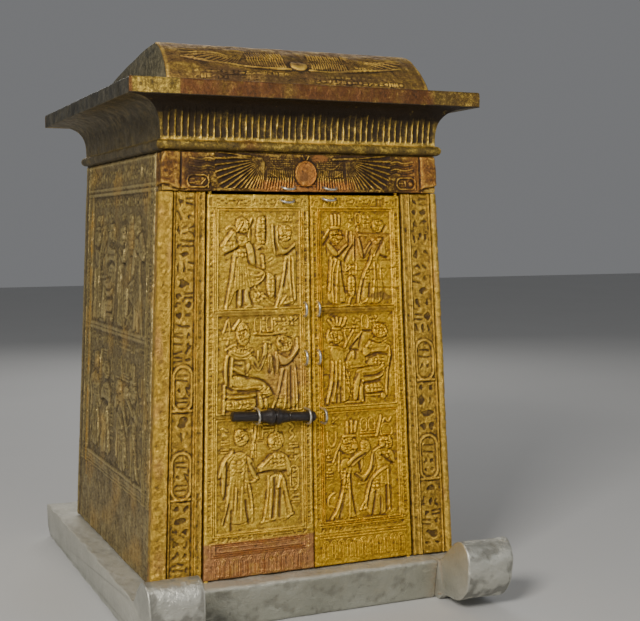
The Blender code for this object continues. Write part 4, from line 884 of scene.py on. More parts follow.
door_gold = {
    -1: gold_sheet("gold_left_door", (0.92, 0.62, 0.085), (0.57, 0.345, 0.030), (0.100, 0.045, 0.008),
                   (0.50, 0.225, 0.105), 0.46),
    1: gold_sheet("gold_right_door", (0.92, 0.57, 0.050), (0.54, 0.300, 0.014), (0.095, 0.038, 0.005),
                  rub_and_highlight=0.46),
}
hinge_x = {-1: -0.0967, 1: 0.1009}
door_foot = 0.0392
door_top = 0.3722
door_edge = {-1: -0.0997, 1: 0.1039}
door_meeting = {-1: 0.0046, 1: 0.0056}
foot_band = 0.040
top_band = 0.0145
outer_stile = 0.0118
inner_stile = 0.0112
rail = 0.007
field_shares = (0.368, 0.316, 0.316)
leaf_thickness = 0.010
field_depth = 0.0006
heel_round = 0.0010
pin_radius = 0.0019


def door_fields(side):
    """The x limits of a door's picture fields and the z limits of each, lowest first."""
    outer = door_edge[side] - side * outer_stile
    inner = door_meeting[side] + side * inner_stile
    foot = door_foot + foot_band
    room_left = door_top - top_band - foot - 2 * rail
    limits = []
    for share in field_shares:
        limits.append((foot, foot + room_left * share))
        foot += room_left * share + rail
    return min(outer, inner), max(outer, inner), limits


def frame_fields(relief, side, left, right, limits):
    """Sink the picture fields, with a double fillet round each, and chase the signs beside them."""
    for low, high in limits:
        inside = relief.inside_box(left, right, low, high)
        relief.height -= field_depth * np.clip(inside / 0.0008 + 0.5, 0.0, 1.0)
        for gap, depth in ((0.0010, 0.0006), (0.0030, 0.0005)):
            relief.frame(left - gap, right + gap, low - gap, high + gap, 0.0010, depth)
            relief.frame(left - gap - 0.0009, right + gap + 0.0009, low - gap - 0.0009, high + gap + 0.0009,
                         0.0007, -0.0004)
    edge_low, edge_high = relief.along[0] + 0.0015, relief.along[-1] - 0.0015
    foot, top = limits[0][0], limits[-1][1]
    for strip in ((edge_low + 0.0012, left - 0.0052), (right + 0.0052, edge_high - 0.0012)):
        for x in (strip[0] - 0.0006, strip[1] + 0.0006):
            relief.line([(x, foot), (x, top)], 0.0009, 0.0006)
    signs(relief, edge_low + 0.0016, left - 0.0056, foot, top, 1, 62, 7 + side, 0.0008, -0.0008)
    signs(relief, right + 0.0056, edge_high - 0.0016, foot, top, 1, 62, 17 + side, 0.0008, -0.0008)
    signs(relief, edge_low, edge_high, top + 0.0042, door_top - 0.0020, 26, 1, 27 + side, 0.0009, -0.0008)
    relief.line([(edge_low, top + 0.0038), (edge_high, top + 0.0038)], 0.0009, 0.0006)


def heel(relief, side):
    """Round the outer edge of the leaf, so that it clears the jamb as it turns."""
    into = np.clip(heel_round - np.abs(door_edge[side] - relief.x), 0.0, heel_round)
    relief.height -= heel_round - np.sqrt(np.clip(heel_round ** 2 - into ** 2, 0.0, None))


def door_pins(side):
    """Return a step that adds the two pins on which the leaf turns."""
    def add(bm):
        for low, high in ((0.0342, door_foot + 0.004), (door_top - 0.004, 0.3785)):
            foot, top = (Vector(leaned(hinge_x[side], 0.003, z)) for z in (low, high))
            turn = (top - foot).to_track_quat("Z", "Y").to_matrix().to_4x4()
            bmesh.ops.create_cone(
                bm, cap_ends=True, segments=16, radius1=pin_radius, radius2=pin_radius,
                depth=(top - foot).length, matrix=Matrix.Translation((foot + top) / 2) @ turn,
            )
    return add


def hang_door(side, name, relief):
    """Turn the worked leaf into a mesh that rides on its own body."""
    heel(relief, side)
    table = board_table(relief, leaf_thickness, leaned)
    made = skin(name + "_leaf", table, board_marks(relief, 7), door_gold[side], name, extra=door_pins(side))
    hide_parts(name)


# The left leaf: a king and a queen beside an offering, a king on a cushioned box, and a king before a queen.
# Its dado is of redder gold, with nested frames over tall arches.
def picture_leaf(side, spacing, pictures, seed):
    """Begin a leaf with its three pictures, lowest first, and return it with the x limits of its fields."""
    ends = sorted((door_edge[side], door_meeting[side]))
    leaf = Relief(*ends, door_foot, door_top, spacing, 0.00065)
    left, right, limits = door_fields(side)
    frame_fields(leaf, side, left, right, limits)
    leaf.level = -field_depth
    for picture, (low, high) in zip(pictures, limits):
        carve_picture(leaf, *picture, left, right, low, high, seed)
    leaf.level = 0.0
    return leaf, left, right


def arches(leaf, left, right, foot, sizes, depth):
    """Chase a row of tall square-topped arches, one in another, into the foot of a leaf."""
    bars = 11
    for number in range(bars):
        x = left - 0.004 + (right - left + 0.008) * (number + 0.5) / bars
        for half, tall in sizes:
            arch = [(x - half, foot), (x - half, tall), (x + half, tall), (x + half, foot)]
            leaf.line(rounded(arch, False), 0.0009, depth)


left_leaf, left, right = picture_leaf(-1, 0.00065, (standing, cushioned, offering), 101)
for inset in (0.0, 0.0019, 0.0038):
    x_low, x_high = left - 0.006 + inset * 2, right + 0.006 - inset * 2
    left_leaf.frame(x_low, x_high, 0.0592 + inset, 0.0703 - inset, 0.0009, 0.0008)
arches(left_leaf, left, right, 0.0410, ((0.0031, 0.0572), (0.0017, 0.0556)), 0.0008)
signs(left_leaf, left - 0.005, right + 0.005, 0.0712, 0.0757, 19, 1, 111, 0.0011, -0.0010)
left_leaf.stain += 0.85 * ramp(0.0718 - left_leaf.z, 0.002)
left_leaf.patch(left_leaf.stain, -0.020, 0.215, 0.020, 0.022, 0.35, seed=3)
left_leaf.patch(left_leaf.soot_and_shade, -0.060, 0.2680, 0.035, 0.004, 0.55, seed=4)
left_leaf.patch(left_leaf.soot_and_shade, -0.050, 0.1810, 0.050, 0.003, 0.60, seed=5)
worn_sheet(left_leaf, 201)
# Keep the relief clear of the bolt, which slides over the inner part of this leaf.
bolt_z = 0.1794
bolt_middle_x = -0.0366
bolt_droop = 0.064
bolt_standoff = 0.0080
bolt_swelling = 0.0079
from_bolt = left_leaf.z - (bolt_z - bolt_droop * (left_leaf.x - bolt_middle_x))
room = bolt_standoff - np.sqrt(np.clip(bolt_swelling ** 2 - from_bolt ** 2, 0.0, None)) - fit
left_leaf.height = np.where(left_leaf.x > -0.054, np.minimum(left_leaf.height, room), left_leaf.height)
hang_door(-1, "door_left", left_leaf)


# The right leaf: a queen with tall plumes before a leaning king, a king on a lion-legged chair, and a queen
# who reaches towards a king. Rules, nested lines and small arches fill its foot.
right_leaf, left, right = picture_leaf(1, 0.00063, (leaning, chair, plumes), 151)
for level_z in (0.0765, 0.0745, 0.0690, 0.0665, 0.0640):
    right_leaf.line([(left - 0.006, level_z), (right + 0.006, level_z)], 0.0010, 0.0006)
signs(right_leaf, left - 0.005, right + 0.005, 0.0700, 0.0738, 24, 1, 161, 0.0009, -0.0008)
arches(right_leaf, left, right, 0.0450, ((0.0032, 0.0615), (0.0018, 0.0600)), 0.0007)
right_leaf.patch(right_leaf.soot_and_shade, 0.080, 0.2815, 0.012, 0.0035, 0.80, seed=6)
right_leaf.patch(right_leaf.soot_and_shade, 0.050, 0.2690, 0.045, 0.0035, 0.60, seed=7)
right_leaf.patch(right_leaf.stain, 0.060, 0.330, 0.030, 0.012, 0.30, seed=8)
for crease_z, tilt in ((0.303, 0.004), (0.291, -0.003)):
    crease = [(0.030, crease_z), (0.060, crease_z + tilt * 0.4), (0.100, crease_z + tilt)]
    right_leaf.line(crease, 0.0013, -0.0006)
worn_sheet(right_leaf, 231)
hang_door(1, "door_right", right_leaf)


# The jambs beside the doors: posts overlaid with gold sheet, with a round bead on the shrine's corner, two
# long oval rings in a column of signs, and a plain border at the opening. The sheet turns the corner.
def turn_corner(u, corner, radius):
    """Place of points along a face that turns a round corner, and the direction that it faces there."""
    past = u - (corner - radius)
    turn = np.clip(past / radius, 0.0, math.pi / 2)
    x = np.where(past <= 0.0, u, corner - radius + radius * np.sin(turn))
    y = radius - radius * np.cos(turn) + np.maximum(past - radius * math.pi / 2, 0.0)
    return x, y, np.sin(turn), -np.cos(turn)


def wrap(relief, place, out, corners, radius, side=1, proud=0.0):
    """Make rows of points round a board whose face turns the shrine's corners."""
    plan_x, plan_y, face_x, face_y = turn_corner(np.abs(relief.x), half_body, radius)
    sign = side * np.where(relief.x >= 0.0, 1.0, -1.0)
    loop = [place(sign * (plan_x + face_x * out), plan_y - proud + face_y * out, relief.z)]
    for x, y in corners:
        loop.append(place(side * x + 0.0 * relief.up, y + 0.0 * relief.up, relief.up)[:, None, :])
    return np.concatenate(loop, axis=1)


wall_thickness = 0.014
corner_round = 0.0030
column_depth = 0.0005
lintel_z = 0.3747
wrap_length = half_body - corner_round + corner_round * math.pi / 2 + wall_thickness - corner_round
jamb_gold = gold_sheet("gold_jambs", (0.92, 0.60, 0.095), (0.50, 0.30, 0.036), (0.060, 0.028, 0.006),
                       (0.62, 0.33, 0.12), grime_and_shade=0.03, crumple=1.7)


def bold_signs(relief, x_low, x_high, z_low, z_high, seed, width=0.0019, depth=0.0011):
    """Fill a column with large worn sunk marks. They stand for an inscription, and none is a letter."""
    draw = np.random.RandomState(seed)
    z = z_high
    while z - z_low > 0.005:
        tall = min(draw.uniform(0.0070, 0.0150), z - z_low)
        parts = (1, 2, 2, 3)[draw.randint(4)] if tall > 0.009 else 1 + draw.randint(2)
        share = (x_high - x_low) / parts
        for part in range(parts):
            middle = x_low + share * (part + 0.5)
            w, h = share * 0.36, tall * 0.36
            middle_z = z - tall / 2
            kind = draw.randint(5)
            if kind < 3:
                turns = np.linspace(0.0, 2 * math.pi, 9, endpoint=False)
                reach = draw.uniform(0.35, 1.25, 9)
                outline = [
                    (middle + w * r * math.cos(t), middle_z + h * r * math.sin(t))
                    for r, t in zip(reach, turns)
                ]
                relief.sink(rounded(outline, True), depth)
            elif kind == 3:
                curl = [(middle + w * u, middle_z + h * v) for u, v in draw.uniform(-1.1, 1.1, (4, 2))]
                relief.line(rounded(curl, False), width, -depth)
            else:
                for step in (-0.6, 0.6):
                    tilt, at = draw.uniform(-0.4, 0.4) * h, middle_z + step * h
                    relief.line([(middle - w, at), (middle + w, at + tilt)], width, -depth)
        z -= tall


for side, name, opening, bead_in, rings in (
    (-1, "jamb_left", 0.1014, 0.1330, ((0.112, 0.152), (0.188, 0.226))),
    (1, "jamb_right", 0.1056, 0.1390, ((0.109, 0.150), (0.202, 0.239))),
):
    post = Relief(opening, wrap_length, deck_z + fit, lintel_z - fit, 0.00074, 0.00074)
    bead_out = half_body + 0.0045
    post.form(slice(None), np.minimum(post.x - bead_in, bead_out - post.x), 0.0019, 0.0040, 0.0010)
    for edge in (opening + 0.0013, opening + 0.0066):
        post.line([(edge, post.up[0]), (edge, post.up[-1])], 0.0012, 0.0006)
    post.line([(opening + 0.0040, post.up[0]), (opening + 0.0040, post.up[-1])], 0.0010, -0.0005)
    column_in, column_out = opening + 0.0095, bead_in - 0.0022
    inside = np.minimum(post.x - column_in, column_out - post.x)
    post.height -= column_depth * np.clip(inside / 0.0008 + 0.5, 0.0, 1.0)
    for edge in (column_in - 0.0008, column_out + 0.0008):
        post.line([(edge, post.up[0]), (edge, post.up[-1])], 0.0013, 0.0010)
        post.line([(edge + 0.0014, post.up[0]), (edge + 0.0014, post.up[-1])], 0.0010, -0.0008)
    post.level = -column_depth
    middle = (column_in + column_out) / 2
    (low_foot, low_top), (high_foot, high_top) = rings
    spaces = ((0.046, low_foot - 0.003), (low_top + 0.003, high_foot - 0.003), (high_top + 0.003, 0.372))
    for number, (low, high) in enumerate(spaces):
        bold_signs(post, column_in + 0.001, column_out - 0.001, low, high, 301 + 10 * number + side)
    for low, high in rings:
        centre = (middle, (low + high) / 2)
        half_ring = (column_out - column_in) * 0.44
        post.name_ring(centre, half_ring, (high - low) / 2, 0.0020, 0.0014)
        bold_signs(post, middle - half_ring * 0.70, middle + half_ring * 0.70, low + 0.005, high - 0.005,
                   331 + side, 0.0016)
    x, z = post.x, post.z
    dent = waves(341 + side, 9, x / 0.020, z / 0.035) * 0.00022
    post.height += dent + waves(343 + side, 9, x / 0.008, z / 0.010) * 0.00012
    post.height += waves(347 + side, 9, x / 0.0040, z / 0.0048) * 0.00016
    post.height -= np.exp(-(waves(345 + side, 8, x / 0.03, z / 0.04) / 0.04) ** 2) * 0.0003
    post.ease(np.minimum(np.minimum(z - post.up[0], post.up[-1] - z), x - opening))
    wraps = ramp(x - half_body, 0.006)
    out = np.where(wraps > 0.0, np.minimum(post.height, 0.0020 * (1.0 - wraps)), post.height)
    corners = [(x_back, wall_thickness) for x_back in (half_body - 0.004, opening + 0.010, opening)]
    corners.append((opening, 0.006))
    table = wrap(post, leaned, out, corners, corner_round, side)
    post.stain = 0.55 * np.clip(waves(351 + side, 8, x / 0.020, z / 0.035) - 0.2, 0.0, 1.0) * (x > bead_in)
    made = skin(name + "_post", table, board_marks(post, 4, 2, 0.0011), jamb_gold)
    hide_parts(name)


# The lintel: a beam over the doors with a disk between two outspread wings, chased into redder gold. Its
# two lower corners are chipped and cracked.
lintel_gold = gold_sheet("gold_lintel", (0.80, 0.50, 0.09), (0.122, 0.062, 0.016), (0.022, 0.010, 0.004),
                         (0.62, 0.255, 0.060), 0.46, grime_and_shade=0.08, crumple=1.4)
lintel_proud = 0.003
body_top = 0.4077
lintel_wrap = wrap_length + lintel_proud


def feather_fan(relief, side, joint, turns, count, reach, foot, width, depth):
    """Spread long feathers outwards from a wing's joint, down to the line where the wing ends."""
    dx, dz = side * relief.x - joint[0], relief.z - joint[1]
    away = np.hypot(dx, dz)
    pitch = (turns[1] - turns[0]) / (count - 1)
    place = (np.degrees(np.arctan2(dz, dx)) - turns[0]) / pitch
    aside = np.abs(place - np.round(place)) * abs(math.radians(pitch)) * away
    ridge = np.exp(-(aside / (width / 2)) ** 2)
    shown = (place > -0.5) & (place < count - 0.5) & (relief.z > foot + 0.0 * relief.x)
    shown = shown * ramp(reach - away, 0.002) * np.clip(away / 0.004, 0.0, 1.0)
    relief.height += shown * depth * (ridge - 0.35)
    # The grooves between the feathers are darkened: soiling and painted shade.
    relief.soot_and_shade = np.maximum(relief.soot_and_shade, 0.75 * shown * (1.0 - ridge))


lintel = Relief(-lintel_wrap, lintel_wrap, lintel_z, body_top, 0.00062, 0.00060)
middle_z = 0.3905
for side in (-1, 1):
    joint = (0.0430, middle_z + 0.0125)
    feather_fan(lintel, side, joint, (6.0, -84.0), 15, 0.0520, middle_z - 0.0130, 0.0015, 0.0016)
    for number in range(11):
        x = side * (0.0130 + number * 0.0027)
        tip = (x + side * (0.0002 + number * 0.0002), middle_z - 0.0132)
        lintel.line([(x, middle_z - 0.0045), tip], 0.0014, 0.0011)
    for number in range(15):
        x = side * (0.0130 + number * 0.0019)
        lintel.line([(x, middle_z + 0.0025), (x + side * 0.0003, middle_z - 0.0028)], 0.0009, 0.0008)
    for quill, depth in (
        (((0.012, 0.0030), (0.030, 0.0042), (0.038, 0.0100)), 0.0006),
        (((0.011, -0.0035), (0.030, -0.0033), (0.039, 0.0010)), 0.0007),
    ):
        lintel.line([(side * x, middle_z + rise) for x, rise in quill], 0.0009, depth)
    x_low, x_high = sorted((side * 0.012, side * 0.040))
    for row in range(5):
        signs(lintel, x_low, x_high, middle_z + 0.0042 + 0.0018 * row, middle_z + 0.0058 + 0.0018 * row,
              15, 1, 411 + row + side, 0.0007, 0.0004)
    lintel.line([(side * 0.1270, lintel_z), (side * 0.1270, body_top)], 0.0020, -0.0008)
    post_end = np.minimum(np.abs(lintel.x) - 0.1280, half_body + 0.004 - np.abs(lintel.x))
    lintel.form(slice(None), np.where(side * lintel.x > 0, post_end, -1.0), 0.0012, 0.0050, 0.0)
    lintel.name_ring((side * 0.1105, middle_z - 0.0075), 0.0105, 0.0052, 0.0013, 0.0011, lying=True)
    signs(lintel, side * 0.1105 - 0.008, side * 0.1105 + 0.008, middle_z - 0.0115, middle_z - 0.0035,
          3, 1, 421 + side, 0.0011, 0.0008)
    for row in range(4):
        z = middle_z + 0.0010 + 0.0033 * row
        curl = ((0.094, 0.0), (0.101, 0.0018), (0.108, -0.0006), (0.119, 0.0014))
        curl = rounded([(side * x, z + rise) for x, rise in curl], False)
        lintel.line(curl, 0.0011, 0.0008 if row % 2 else -0.0007)
for x0, x1 in ((-0.080, -0.058), (0.030, 0.054)):
    lintel.line([(x0, body_top - 0.0042), (x1, body_top - 0.0030)], 0.0018, 0.0012)
lintel.oval((0.0, middle_z), 0.0118, 0.0118, 0.0014, 0.0014, 0.0005)
lintel.name_ring((0.0, middle_z), 0.0104, 0.0104, 0.0009, 0.0008)
for tip_x in (0.0035, -0.0035):
    lintel.line([(0.0, middle_z + 0.010), (tip_x, middle_z + 0.0155)], 0.0012, 0.0011)
x, z = lintel.x, lintel.z
lintel.height += waves(401, 9, x / 0.030, z / 0.012) * 0.00018 + waves(402, 9, x / 0.008, z / 0.006) * 0.00008
chip = waves(403, 8, x / 0.010, z / 0.007)
lost = np.zeros_like(x)
for side in (-1, 1):
    away = np.hypot((x - side * half_body * 1.03) / 0.023, (z - 0.3745) / 0.0068) + 0.16 * chip
    lost = np.maximum(lost, ramp(1.0 - away, 0.12))
    away = np.hypot((x - side * 0.150) / 0.006, (z - body_top) / 0.010) + 0.2 * chip
    lost = np.maximum(lost, 0.5 * ramp(1.0 - away, 0.15))
lintel.height -= 0.0020 * lost
crack = np.exp(-(np.abs(lost - 0.30) / 0.22) ** 2) * (lost > 0.01)
lintel.soot_and_shade = np.maximum(0.15 * lost, crack)
# Painted shade: the upper part of each wing, beside the disk, is painted darker in the soot_and_shade mark.
shade = ramp(z - middle_z + 0.0030, 0.002) * ramp(0.088 - np.abs(x), 0.02)
shade = shade * ramp(np.abs(x) - 0.011, 0.002)
lintel.soot_and_shade = np.maximum(lintel.soot_and_shade, 0.42 * shade)
lintel.ease(np.minimum(z - lintel_z, body_top - z))
lintel.stain = 0.85 * ramp(middle_z - 0.0050 - z, 0.003) * ramp(0.060 - np.abs(x), 0.02)
lintel.stain = np.maximum(lintel.stain, 0.85 * ramp(0.0118 - np.hypot(x, z - middle_z), 0.001))
lintel.stain = np.maximum(lintel.stain, np.where(x < 0, 0.25, 0.45) * ramp(np.abs(x) - 0.100, 0.02))
lintel.patch(lintel.stain, 0.016, 0.4040, 0.008, 0.003, 0.9, seed=11)
lintel.patch(lintel.soot_and_shade, 0.066, 0.394, 0.018, 0.007, 0.50, seed=12)
lintel.patch(lintel.soot_and_shade, -0.003, middle_z - 0.003, 0.006, 0.004, 0.60, seed=10)
lintel.patch(lintel.soot_and_shade, -0.1125, 0.3945, 0.013, 0.010, 0.80, seed=13)
plain_back = [(x_back, wall_thickness) for x_back in (half_body - 0.004, 0.0, -half_body + 0.004)]
table = wrap(lintel, leaned, lintel.height, plain_back, 0.0020, proud=lintel_proud)
made = skin("lintel_beam", table, board_marks(lintel, 3, 2, 0.0010, lost), lintel_gold)
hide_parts("lintel")


# The side walls: boards overlaid with gold sheet that has gone dark. Each has a band of signs at its top,
# two wide picture fields between beaded edges, four rules, and a plain dado marked with upright lines.
wall_gold = gold_sheet("gold_walls", (0.56, 0.44, 0.18), (0.27, 0.200, 0.082), (0.060, 0.042, 0.017),
                       (0.80, 0.46, 0.085), 0.44, grime_and_shade=0.04, shine=0.75, smooth=0.42)
wall_length = 0.2654
wall_front = front_plane + wall_thickness + fit
back_lean = 0.005
fields_top, fields_foot = body_top - 0.033, deck_z + fit + 0.078
half_high = (fields_top - fields_foot - rail) / 2


def stand_side(side):
    """Return the placing of a side wall, whose x runs to the right as seen from outside."""
    def place(x, y, z):
        share = risen(z)
        along = x / wall_length if side > 0 else 1.0 - x / wall_length
        plane_y = wall_front + along * wall_length
        lean = front_lean * (1.0 - along) - back_lean * along
        out = half_body - y - side_lean * share
        return np.stack([side * out + 0.0 * x, plane_y + lean * share, z + 0.0 * x], axis=-1)
    return place


def wall_scene(wall, x_low, x_high, low, high, first, second, seed):
    """Two door pictures side by side, under a row of signs, in a wide field of a wall."""
    middle, under = (x_low + x_high) / 2, high - (high - low) * 0.10
    columns = int((x_high - x_low) / 0.008)
    signs(wall, x_low + 0.004, x_high - 0.004, under, high - 0.002, columns, 1, seed, 0.0015, 0.0008)
    carve_picture(wall, *first, x_low + 0.004, middle - 0.001, low, under, seed + 1)
    carve_picture(wall, *second, middle + 0.001, x_high - 0.004, low, under, seed + 61, True)


def wall_bands(wall, x_low, x_high, inset, sign_inset, width, sign_width, seed):
    """Chase rules and a band of signs over the fields, and rules and upright lines under them."""
    for z in (fields_top + 0.002, fields_top + 0.0065, body_top - 0.003):
        wall.line([(x_low + inset, z), (x_high - inset, z)], 0.0020, 0.0010)
    signs(wall, x_low + sign_inset, x_high - sign_inset, fields_top + 0.0085, body_top - 0.005,
          26, 1, seed, sign_width, 0.0010)
    for number in range(4):
        z = fields_foot - 0.0030 - 0.0032 * number
        wall.line([(x_low, z), (x_high, z)], width, 0.0008)
    for number in range(22):
        x = x_low + (x_high - x_low) * (number + 0.5) / 22
        wall.line([(x, deck_z + 0.002), (x, fields_foot - 0.016)], width, -0.0003)


def wall_fields(wall, x_low, x_high, margin, soft, width, pictures, seed):
    """Sink two wide fields into a wall, frame them, and carve two of the door pictures in each."""
    limits = ((fields_foot, fields_foot + half_high), (fields_top - half_high, fields_top))
    for number, (low, high) in enumerate(limits):
        inside = wall.inside_box(x_low, x_high, low, high)
        wall.height -= field_depth * np.clip(inside / soft + 0.5, 0.0, 1.0)
        wall.frame(x_low - 0.0015, x_high + 0.0015, low - 0.0015, high + 0.0015, width, 0.0008)
        wall.level = -field_depth
        wall_scene(wall, x_low + margin, x_high - margin, low, high, *pictures[number], seed + 20 * number)
        wall.level = 0.0


for side, name, spacing in ((-1, "wall_left", 0.00145), (1, "wall_right", 0.0020)):
    wall = Relief(0.0, wall_length, deck_z + fit, body_top, spacing, spacing)
    strip = 0.024
    for edge in (0.0012, 0.0060, 0.0160, 0.0215):
        for x in (edge, wall_length - edge):
            wall.line([(x, fields_foot - 0.014), (x, body_top - 0.001)], 0.0018, 0.0008)
    for x in (0.0070, wall_length - 0.0150):
        signs(wall, x, x + 0.0080, fields_foot, fields_top, 1, 34, 501 + side, 0.0015, 0.0008)
    wall_bands(wall, 0.0, wall_length, 0.001, 0.004, 0.0016, 0.0016, 511 + side)
    pictures = ((standing, leaning), (chair, offering))
    wall_fields(wall, strip, wall_length - strip, 0.0, 0.0012, 0.0016, pictures, 521 + side)
    worn_sheet(wall, 561 + 4 * side, 1.3)
    wall.stain = 0.30 * np.clip(waves(571 + side, 8, wall.x / 0.06, wall.z / 0.06) - 0.3, 0.0, 1.0)
    from_back = wall.x if side < 0 else wall_length - wall.x
    gilt = ramp(0.0035 - np.abs(from_back - 0.0190), 0.001)
    gilt = gilt * (wall.z > fields_foot - 0.03) * (wall.z < fields_top)
    gilt = gilt * np.clip(0.8 + 0.4 * waves(577 + side, 6, wall.z / 0.03), 0.0, 1.0)
    wall.stain = np.maximum(wall.stain, gilt)
    table = board_table(wall, wall_thickness, stand_side(side))
    made = skin(name + "_board", table, board_marks(wall, 7, 2, 0.0012), wall_gold)
    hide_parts(name)


# The back wall: a board overlaid with the same dark gold sheet as the sides, with two picture fields. Its
# sheet turns both back corners over a round bead.
back = Relief(-wrap_length, wrap_length, deck_z + fit, body_top, 0.0023, 0.0023)
for side in (-1, 1):
    inside = np.minimum(side * back.x - (half_body - 0.0125), half_body + 0.0045 - side * back.x)
    back.form(slice(None), inside, 0.0014, 0.0050, 0.0006)
    for edge in (0.126, 0.129):
        back.line([(side * edge, fields_foot - 0.014), (side * edge, body_top - 0.001)], 0.0018, 0.0008)
wall_bands(back, -0.131, 0.131, 0.0, 0.003, 0.0018, 0.0018, 601)
wall_fields(back, -0.1215, 0.1215, 0.001, 0.0016, 0.0018, ((plumes, standing), (cushioned, leaning)), 611)
x, z = back.x, back.z
back.height += waves(631, 9, x / 0.030, z / 0.030) * 0.00025 + waves(632, 9, x / 0.011, z / 0.011) * 0.0001
back.ease(np.minimum(z - back.up[0], back.up[-1] - z), 0.002)
wraps = ramp(np.abs(x) - half_body, 0.006)
out = np.where(wraps > 0.0, np.minimum(back.height, 0.0018 * (1.0 - wraps)), back.height)
back_plane = 0.152


def stand_back(x, y, z):
    """Place a point of the back wall, whose x runs to the right as seen from behind."""
    share = risen(z)
    return np.stack([
        -x * (1.0 - side_lean / half_body * share), back_plane - back_lean * share - y, z + 0.0 * x,
    ], axis=-1)


table = wrap(back, stand_back, out, plain_back, corner_round)
made = skin("wall_back_board", table, board_marks(back, 3, 2, 0.0012), wall_gold)
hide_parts("wall_back")


# The floor board inside: a plain wooden plank between the walls, gilded like the rest and worn dull. The
# solid's own shape is kept.
def drawn_out(tree, scale):
    """Return object coordinates that draw a pattern out along one axis, as wood grain runs."""
    node = tree.nodes.new("ShaderNodeMapping")
    node.inputs["Scale"].default_value = scale
    tree.links.new(object_place(tree), node.inputs["Vector"])
    return node.outputs["Vector"]


material, tree, shader = blank_material("gold_floor_board")
grain = noise(tree, 160.0, 5.0, 0.6, place=drawn_out(tree, (1.0, 0.12, 1.0)))
wear = noise(tree, 24.0, 5.0, 0.6)
plank = mingle(tree, spread(tree, grain, 0.35, 0.65), (0.42, 0.27, 0.075), (0.22, 0.13, 0.04))
plank = mingle(tree, spread(tree, wear, 0.55, 0.70), plank, (0.07, 0.04, 0.018))
rough = spread(tree, grain, 0.3, 0.7, 0.45, 0.65)
coat(tree, shader, plank, rough, spread(tree, wear, 0.45, 0.65, 0.55, 0.1))
roughen(tree, shader, grain, 0.0004)
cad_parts["floor_board"].data.materials.clear()
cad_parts["floor_board"].data.materials.append(material)


# The cornice: one carved piece with a round moulding at its foot, a hollow that flares out under a flat
# slab, and narrow ridges between flutes across its front. The slab's edge has gone mostly red-brown.
foot_z, roll, hollow_z, slab_z = 0.4080, 0.0045, 0.4177, 0.4522


def cornice_sections():
    """Return the heights and overhang shares of the cornice from its foot up, with a kind for each."""
    rows = [(foot_z, 0.0, "foot"), (foot_z + 0.0006, 0.0, "foot")]
    for turn in np.linspace(-80, 90, 12):
        t = math.radians(turn)
        rows.append((foot_z + 0.0007 + roll + roll * math.sin(t), 0.001 + roll * math.cos(t), "roll"))
    for share in np.sin(np.linspace(0.0, math.pi / 2, 30))[1:]:
        rows.append((hollow_z + share * 0.0345, share, "hollow"))
    for rise in (0.0012, 0.0040, 0.0075, 0.0110, 0.0128, 0.0135):
        rows.append((slab_z + rise, 1.0, "slab"))
    return rows


def weather(material, share, cloud, grit, high, dark, light):
    """Cover a share of a gold sheet's surface with grey dust in two tones."""
    tree = material.node_tree
    colour = tree.nodes["Principled BSDF"].inputs["Base Color"]
    sheet = colour.links[0].from_socket
    dust = mingle(tree, spread(tree, noise(tree, cloud, 6.0, grit), 0.36, high), dark, light)
    tree.links.new(mingle(tree, share, sheet, dust), colour)


